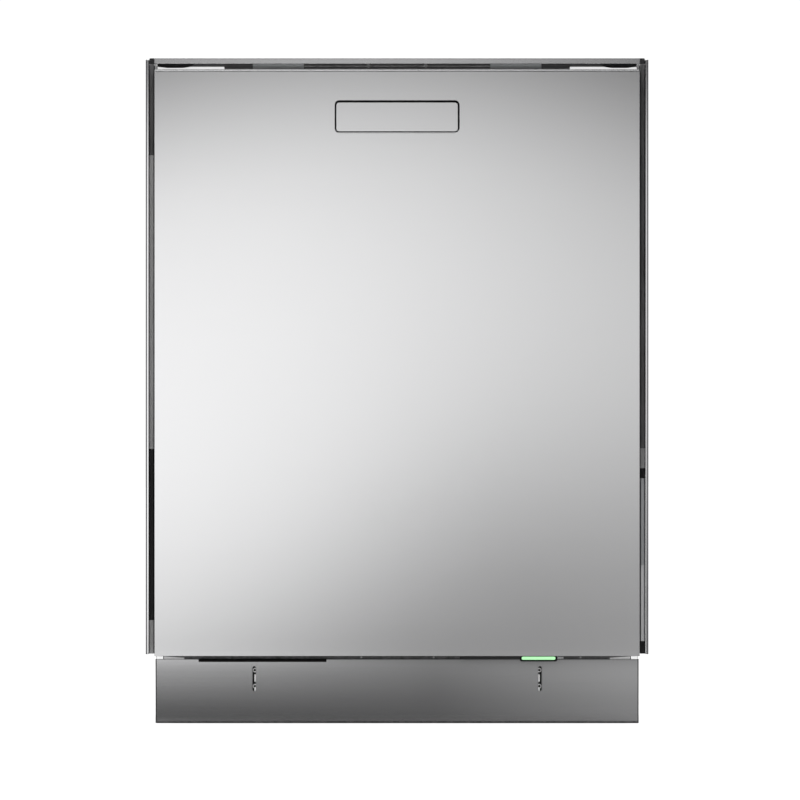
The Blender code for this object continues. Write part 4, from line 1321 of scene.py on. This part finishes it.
def make_hinges_and_springs():
    """Rivets on the hinge arms, screws on their brackets, and the coils of the door's balance springs."""
    dress("zinc_steel", 0.0008, "hinge_arm_{}", "hinge_bracket_{}")
    rivet_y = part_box("hinge_arm_right")[0].y + 0.007
    profile = [(0.2772, 0.0), (0.2774, 0.0022), (0.2790, 0.0036), (0.2794, 0.0036), (0.2794, 0.0)]
    rivets = merged([lathe("X", (0, rivet_y, z), profile, 16) for z in (0.165, 0.225)])
    pair("hinge_rivets_{}", rivets, "zinc_steel", "door")
    screw_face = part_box("hinge_bracket_right")[1].x + 0.0002
    screws = [screw_head("X", (0, y, 0.112), 0.0045, screw_face, 0.0018, 16) for y in (-0.190, -0.140)]
    pair("bracket_screws_{}", merged(screws), "zinc_steel", "cabinet")
    for word in SIDES:
        low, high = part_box(f"door_spring_{word}")
        spring = coil(low.y, high.y, (low.x + high.x) / 2, (low.z + high.z) / 2, 0.0074, 0.0014, 0.0042)
        piece(f"balance_spring_{word}", spring, "zinc_steel", "cabinet", replaces=(f"door_spring_{word}",))


# ---------------------------------------------------------------------------------------------------------
# Casing: sides, back, top, base and feet
# ---------------------------------------------------------------------------------------------------------


def sheet_screw(axis, centre, face):
    """A hexagonal washer-headed screw standing off a sheet."""
    radius = 0.0042
    low, rim, top = face - 0.0004, face + 0.0004, face + 0.0006
    washer = lathe(axis, centre, [
        (low, 0.0), (low, radius), (rim, radius), (top, radius * 0.75), (top, 0.0)], 20)
    seat, shoulder, crown = face + 0.0005, face + 0.0013, face + 0.0015
    head = lathe(axis, centre, [
        (seat, 0.0), (seat, radius * 0.62), (shoulder, radius * 0.62), (crown, radius * 0.50),
        (crown, 0.0)], 6)
    return merged([washer, head])


def make_sides():
    """The pressed frames and screws on the two side panels."""
    low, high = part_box("side_panel_right")
    face = high.x
    dress("zinc_steel", 0, "side_panel_{}")
    frames = rings([(-0.170, 0.235)], [(0.145, 0.435), (0.475, 0.765)], 0.0100, 0.030,
                   "X", face - 0.0003, face + 0.0012)
    pair("side_frames_{}", merged(frames), "zinc_steel", "cabinet", edge=0.0005)
    screws = [sheet_screw("X", (0, y, z), face) for y in (-0.195, 0.260) for z in (0.118, 0.455, 0.795)]
    pair("side_screws_{}", merged(screws), "zinc_steel", "cabinet")
    seam = block(face - 0.0004, face + 0.0007, -0.2150, -0.2060, low.z + 0.001, high.z - 0.001)
    pair("side_seam_{}", seam, "zinc_steel", "cabinet", edge=0.0003)


def make_back():
    """The back sheet's pressed frames, ribs and screws."""
    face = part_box("back_panel")[1].y
    dress("zinc_steel", 0, "back_panel")
    shapes = rings([(-0.262, -0.012), (0.012, 0.262)], [(0.140, 0.770)], 0.0110, 0.030,
                   "Y", face - 0.0004, face + 0.0016)
    for start in (-0.240, 0.034):
        for number in range(4):
            z = 0.205 + 0.145 * number
            shapes.append(slab(start, start + 0.206, z, z + 0.010, 0.0049, "Y", face - 0.0004, face + 0.0012))
    piece("back_ribs", merged(shapes), "zinc_steel", "cabinet", edge=0.0005)
    places = [(x, z) for x in (-0.284, 0.284) for z in (0.116, 0.350, 0.580, 0.796)]
    screws = [sheet_screw("Y", (x, 0, z), face) for x, z in places + [(0, 0.116), (0, 0.796)]]
    piece("back_screws", merged(screws), "zinc_steel", "cabinet")


def make_inlet_and_gland():
    """The threaded water inlet and the cord's gland under the back sheet."""
    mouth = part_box("inlet_valve")[1].y
    thread = [(0.2660, 0.0), (0.2660, 0.0080), (0.2660, 0.0150), (0.2700, 0.0150)]
    turns = 6
    start, end = 0.2712, mouth - 0.0006
    pitch = (end - start) / turns
    for number in range(turns):
        y = start + (end - start) * number / turns
        thread += [(y, 0.0132), (y + pitch * 0.35, 0.0143)]
        thread += [(y + pitch * 0.65, 0.0143), (y + pitch * 0.95, 0.0132)]
    thread += [(mouth, 0.0130), (mouth, 0.0092), (0.2720, 0.0092), (0.2720, 0.0)]
    piece("inlet_thread", lathe("Y", (-0.210, 0, 0.070), thread, 32), "pale_plastic", "cabinet")
    nut = lathe("Y", (0.175, 0, 0.070), [
        (0.2700, 0.0), (0.2700, 0.0128), (0.2760, 0.0128), (0.2768, 0.0112), (0.2768, 0.0)], 6)
    mouthpiece = lathe("Y", (0.175, 0, 0.070), [
        (0.2760, 0.0), (0.2760, 0.0108), (0.2800, 0.0104), (0.2816, 0.0090), (0.2816, 0.0050),
        (0.2780, 0.0046), (0.2780, 0.0)], 28)
    piece("cord_gland", merged([nut, mouthpiece]), "black_plastic", "cabinet", edge=0.0004)


def make_top():
    """The damping board's seam and straps, and the two fixing brackets at the front."""
    low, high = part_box("top_insulation")
    face = high.z
    dress("board", 0.0015, "top_insulation")
    dress("brushed_steel", 0.0004, "top_trim")
    plate = slab(0.150, 0.215, low.y + 0.028, low.y + 0.098, 0.006, "Z", face - 0.0004, face + 0.0012, 4)
    holes = [disc("Z", (x, low.y + y, 0), 0.0035, face - 0.01, face + 0.01, sides=16)
             for x, y in ((0.165, 0.043), (0.200, 0.043), (0.182, 0.062))]
    pair("fixing_bracket_{}", bored(plate, holes), "zinc_steel", "cabinet", edge=0.0004)
    screws = merged([sheet_screw("Z", (x, low.y + 0.083, 0), face + 0.0010) for x in (0.167, 0.198)])
    pair("fixing_screws_{}", screws, "zinc_steel", "cabinet")
    straps = [block(low.x + 0.012, high.x - 0.012, y, y + 0.024, face - 0.0004, face + 0.0005)
              for y in (0.010, 0.215)]
    piece("top_straps", merged(straps), "tub_steel", "cabinet", edge=0.0002)
    seam = ring((low.x + 0.006, high.x - 0.006), low.y + 0.104, high.y - 0.006, 0.0050, 0.012,
                "Z", face - 0.0004, face + 0.0008)
    piece("top_seam", seam, "board", "cabinet", edge=0.0003)


def make_base():
    """Ribs round the base tray and under it."""
    low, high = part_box("base_tray")
    dress("black_plastic", 0.0015, "base_tray")
    z0, z1 = low.z + 0.004, high.z - 0.004
    ribs = []
    for side in SIDES.values():
        for y in spread(low.y + 0.030, high.y - 0.030, 0.062):
            ribs.append(sided(block(high.x - 0.0004, high.x + 0.0007, y - 0.0025, y + 0.0025, z0, z1), side))
    for x in (-0.255, -0.165, -0.120, -0.060, 0.0, 0.060, 0.120, 0.225, 0.265):
        ribs.append(block(x - 0.0025, x + 0.0025, high.y - 0.0004, high.y + 0.0012, z0, z1))
    under = low.z + 0.0004
    for y in spread(low.y + 0.040, high.y - 0.040, 0.070):
        ribs.append(block(low.x + 0.020, high.x - 0.020, y - 0.0020, y + 0.0020, low.z - 0.0015, under))
    for x in spread(low.x + 0.060, high.x - 0.060, 0.095):
        ribs.append(block(x - 0.0020, x + 0.0020, low.y + 0.030, high.y - 0.030, low.z - 0.0013, under))
    piece("base_ribs", merged(ribs), "black_plastic", "cabinet", edge=0.0003)


def make_foot(node):
    """A levelling foot: ribbed pad, hexagon to turn it by and a threaded stem."""
    low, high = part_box(node)
    centre = ((low.x + high.x) / 2, (low.y + high.y) / 2, 0)
    pad = [(0.0, 0.0), (0.0, 0.0160), (0.0008, 0.0175), (0.0030, 0.0180), (0.0048, 0.0180), (0.0060, 0.0168)]
    pad += [(0.0090, 0.0090), (0.0090, 0.0)]
    hexagon = [(0.0085, 0.0), (0.0085, 0.0078), (0.0150, 0.0078), (0.0155, 0.0070), (0.0155, 0.0)]
    thread = [(0.0150, 0.0)]
    start, pitch = 0.0152, 0.0018
    turns = int((high.z - start - 0.002) / pitch)
    for number in range(turns):
        z = start + pitch * number
        thread += [(z, 0.0042), (z + pitch * 0.5, 0.0050)]
    thread += [(start + pitch * turns, 0.0042), (high.z, 0.0036), (high.z, 0.0)]
    shapes = [lathe("Z", centre, pad, 36), lathe("Z", centre, hexagon, 6)]
    shapes += pegs(around(20, centre, 0.0180), 0.0028, 0.0050, 0.0007)
    piece(f"{node}_pad", merged(shapes), "black_plastic", node, edge=0.0004, replaces=(node,))
    piece(f"{node}_thread", lathe("Z", centre, thread, 16), "zinc_steel", node)


make_liner_details()
make_dispenser_body()
make_detergent_lid()
make_rinse_lid()
make_control_details()
make_tub_details()
make_gasket()
make_hinges_and_springs()
make_sides()
make_back()
make_inlet_and_gland()
make_top()
make_base()
for foot in ("foot_front_left", "foot_rear_left", "foot_front_right", "foot_rear_right"):
    make_foot(foot)
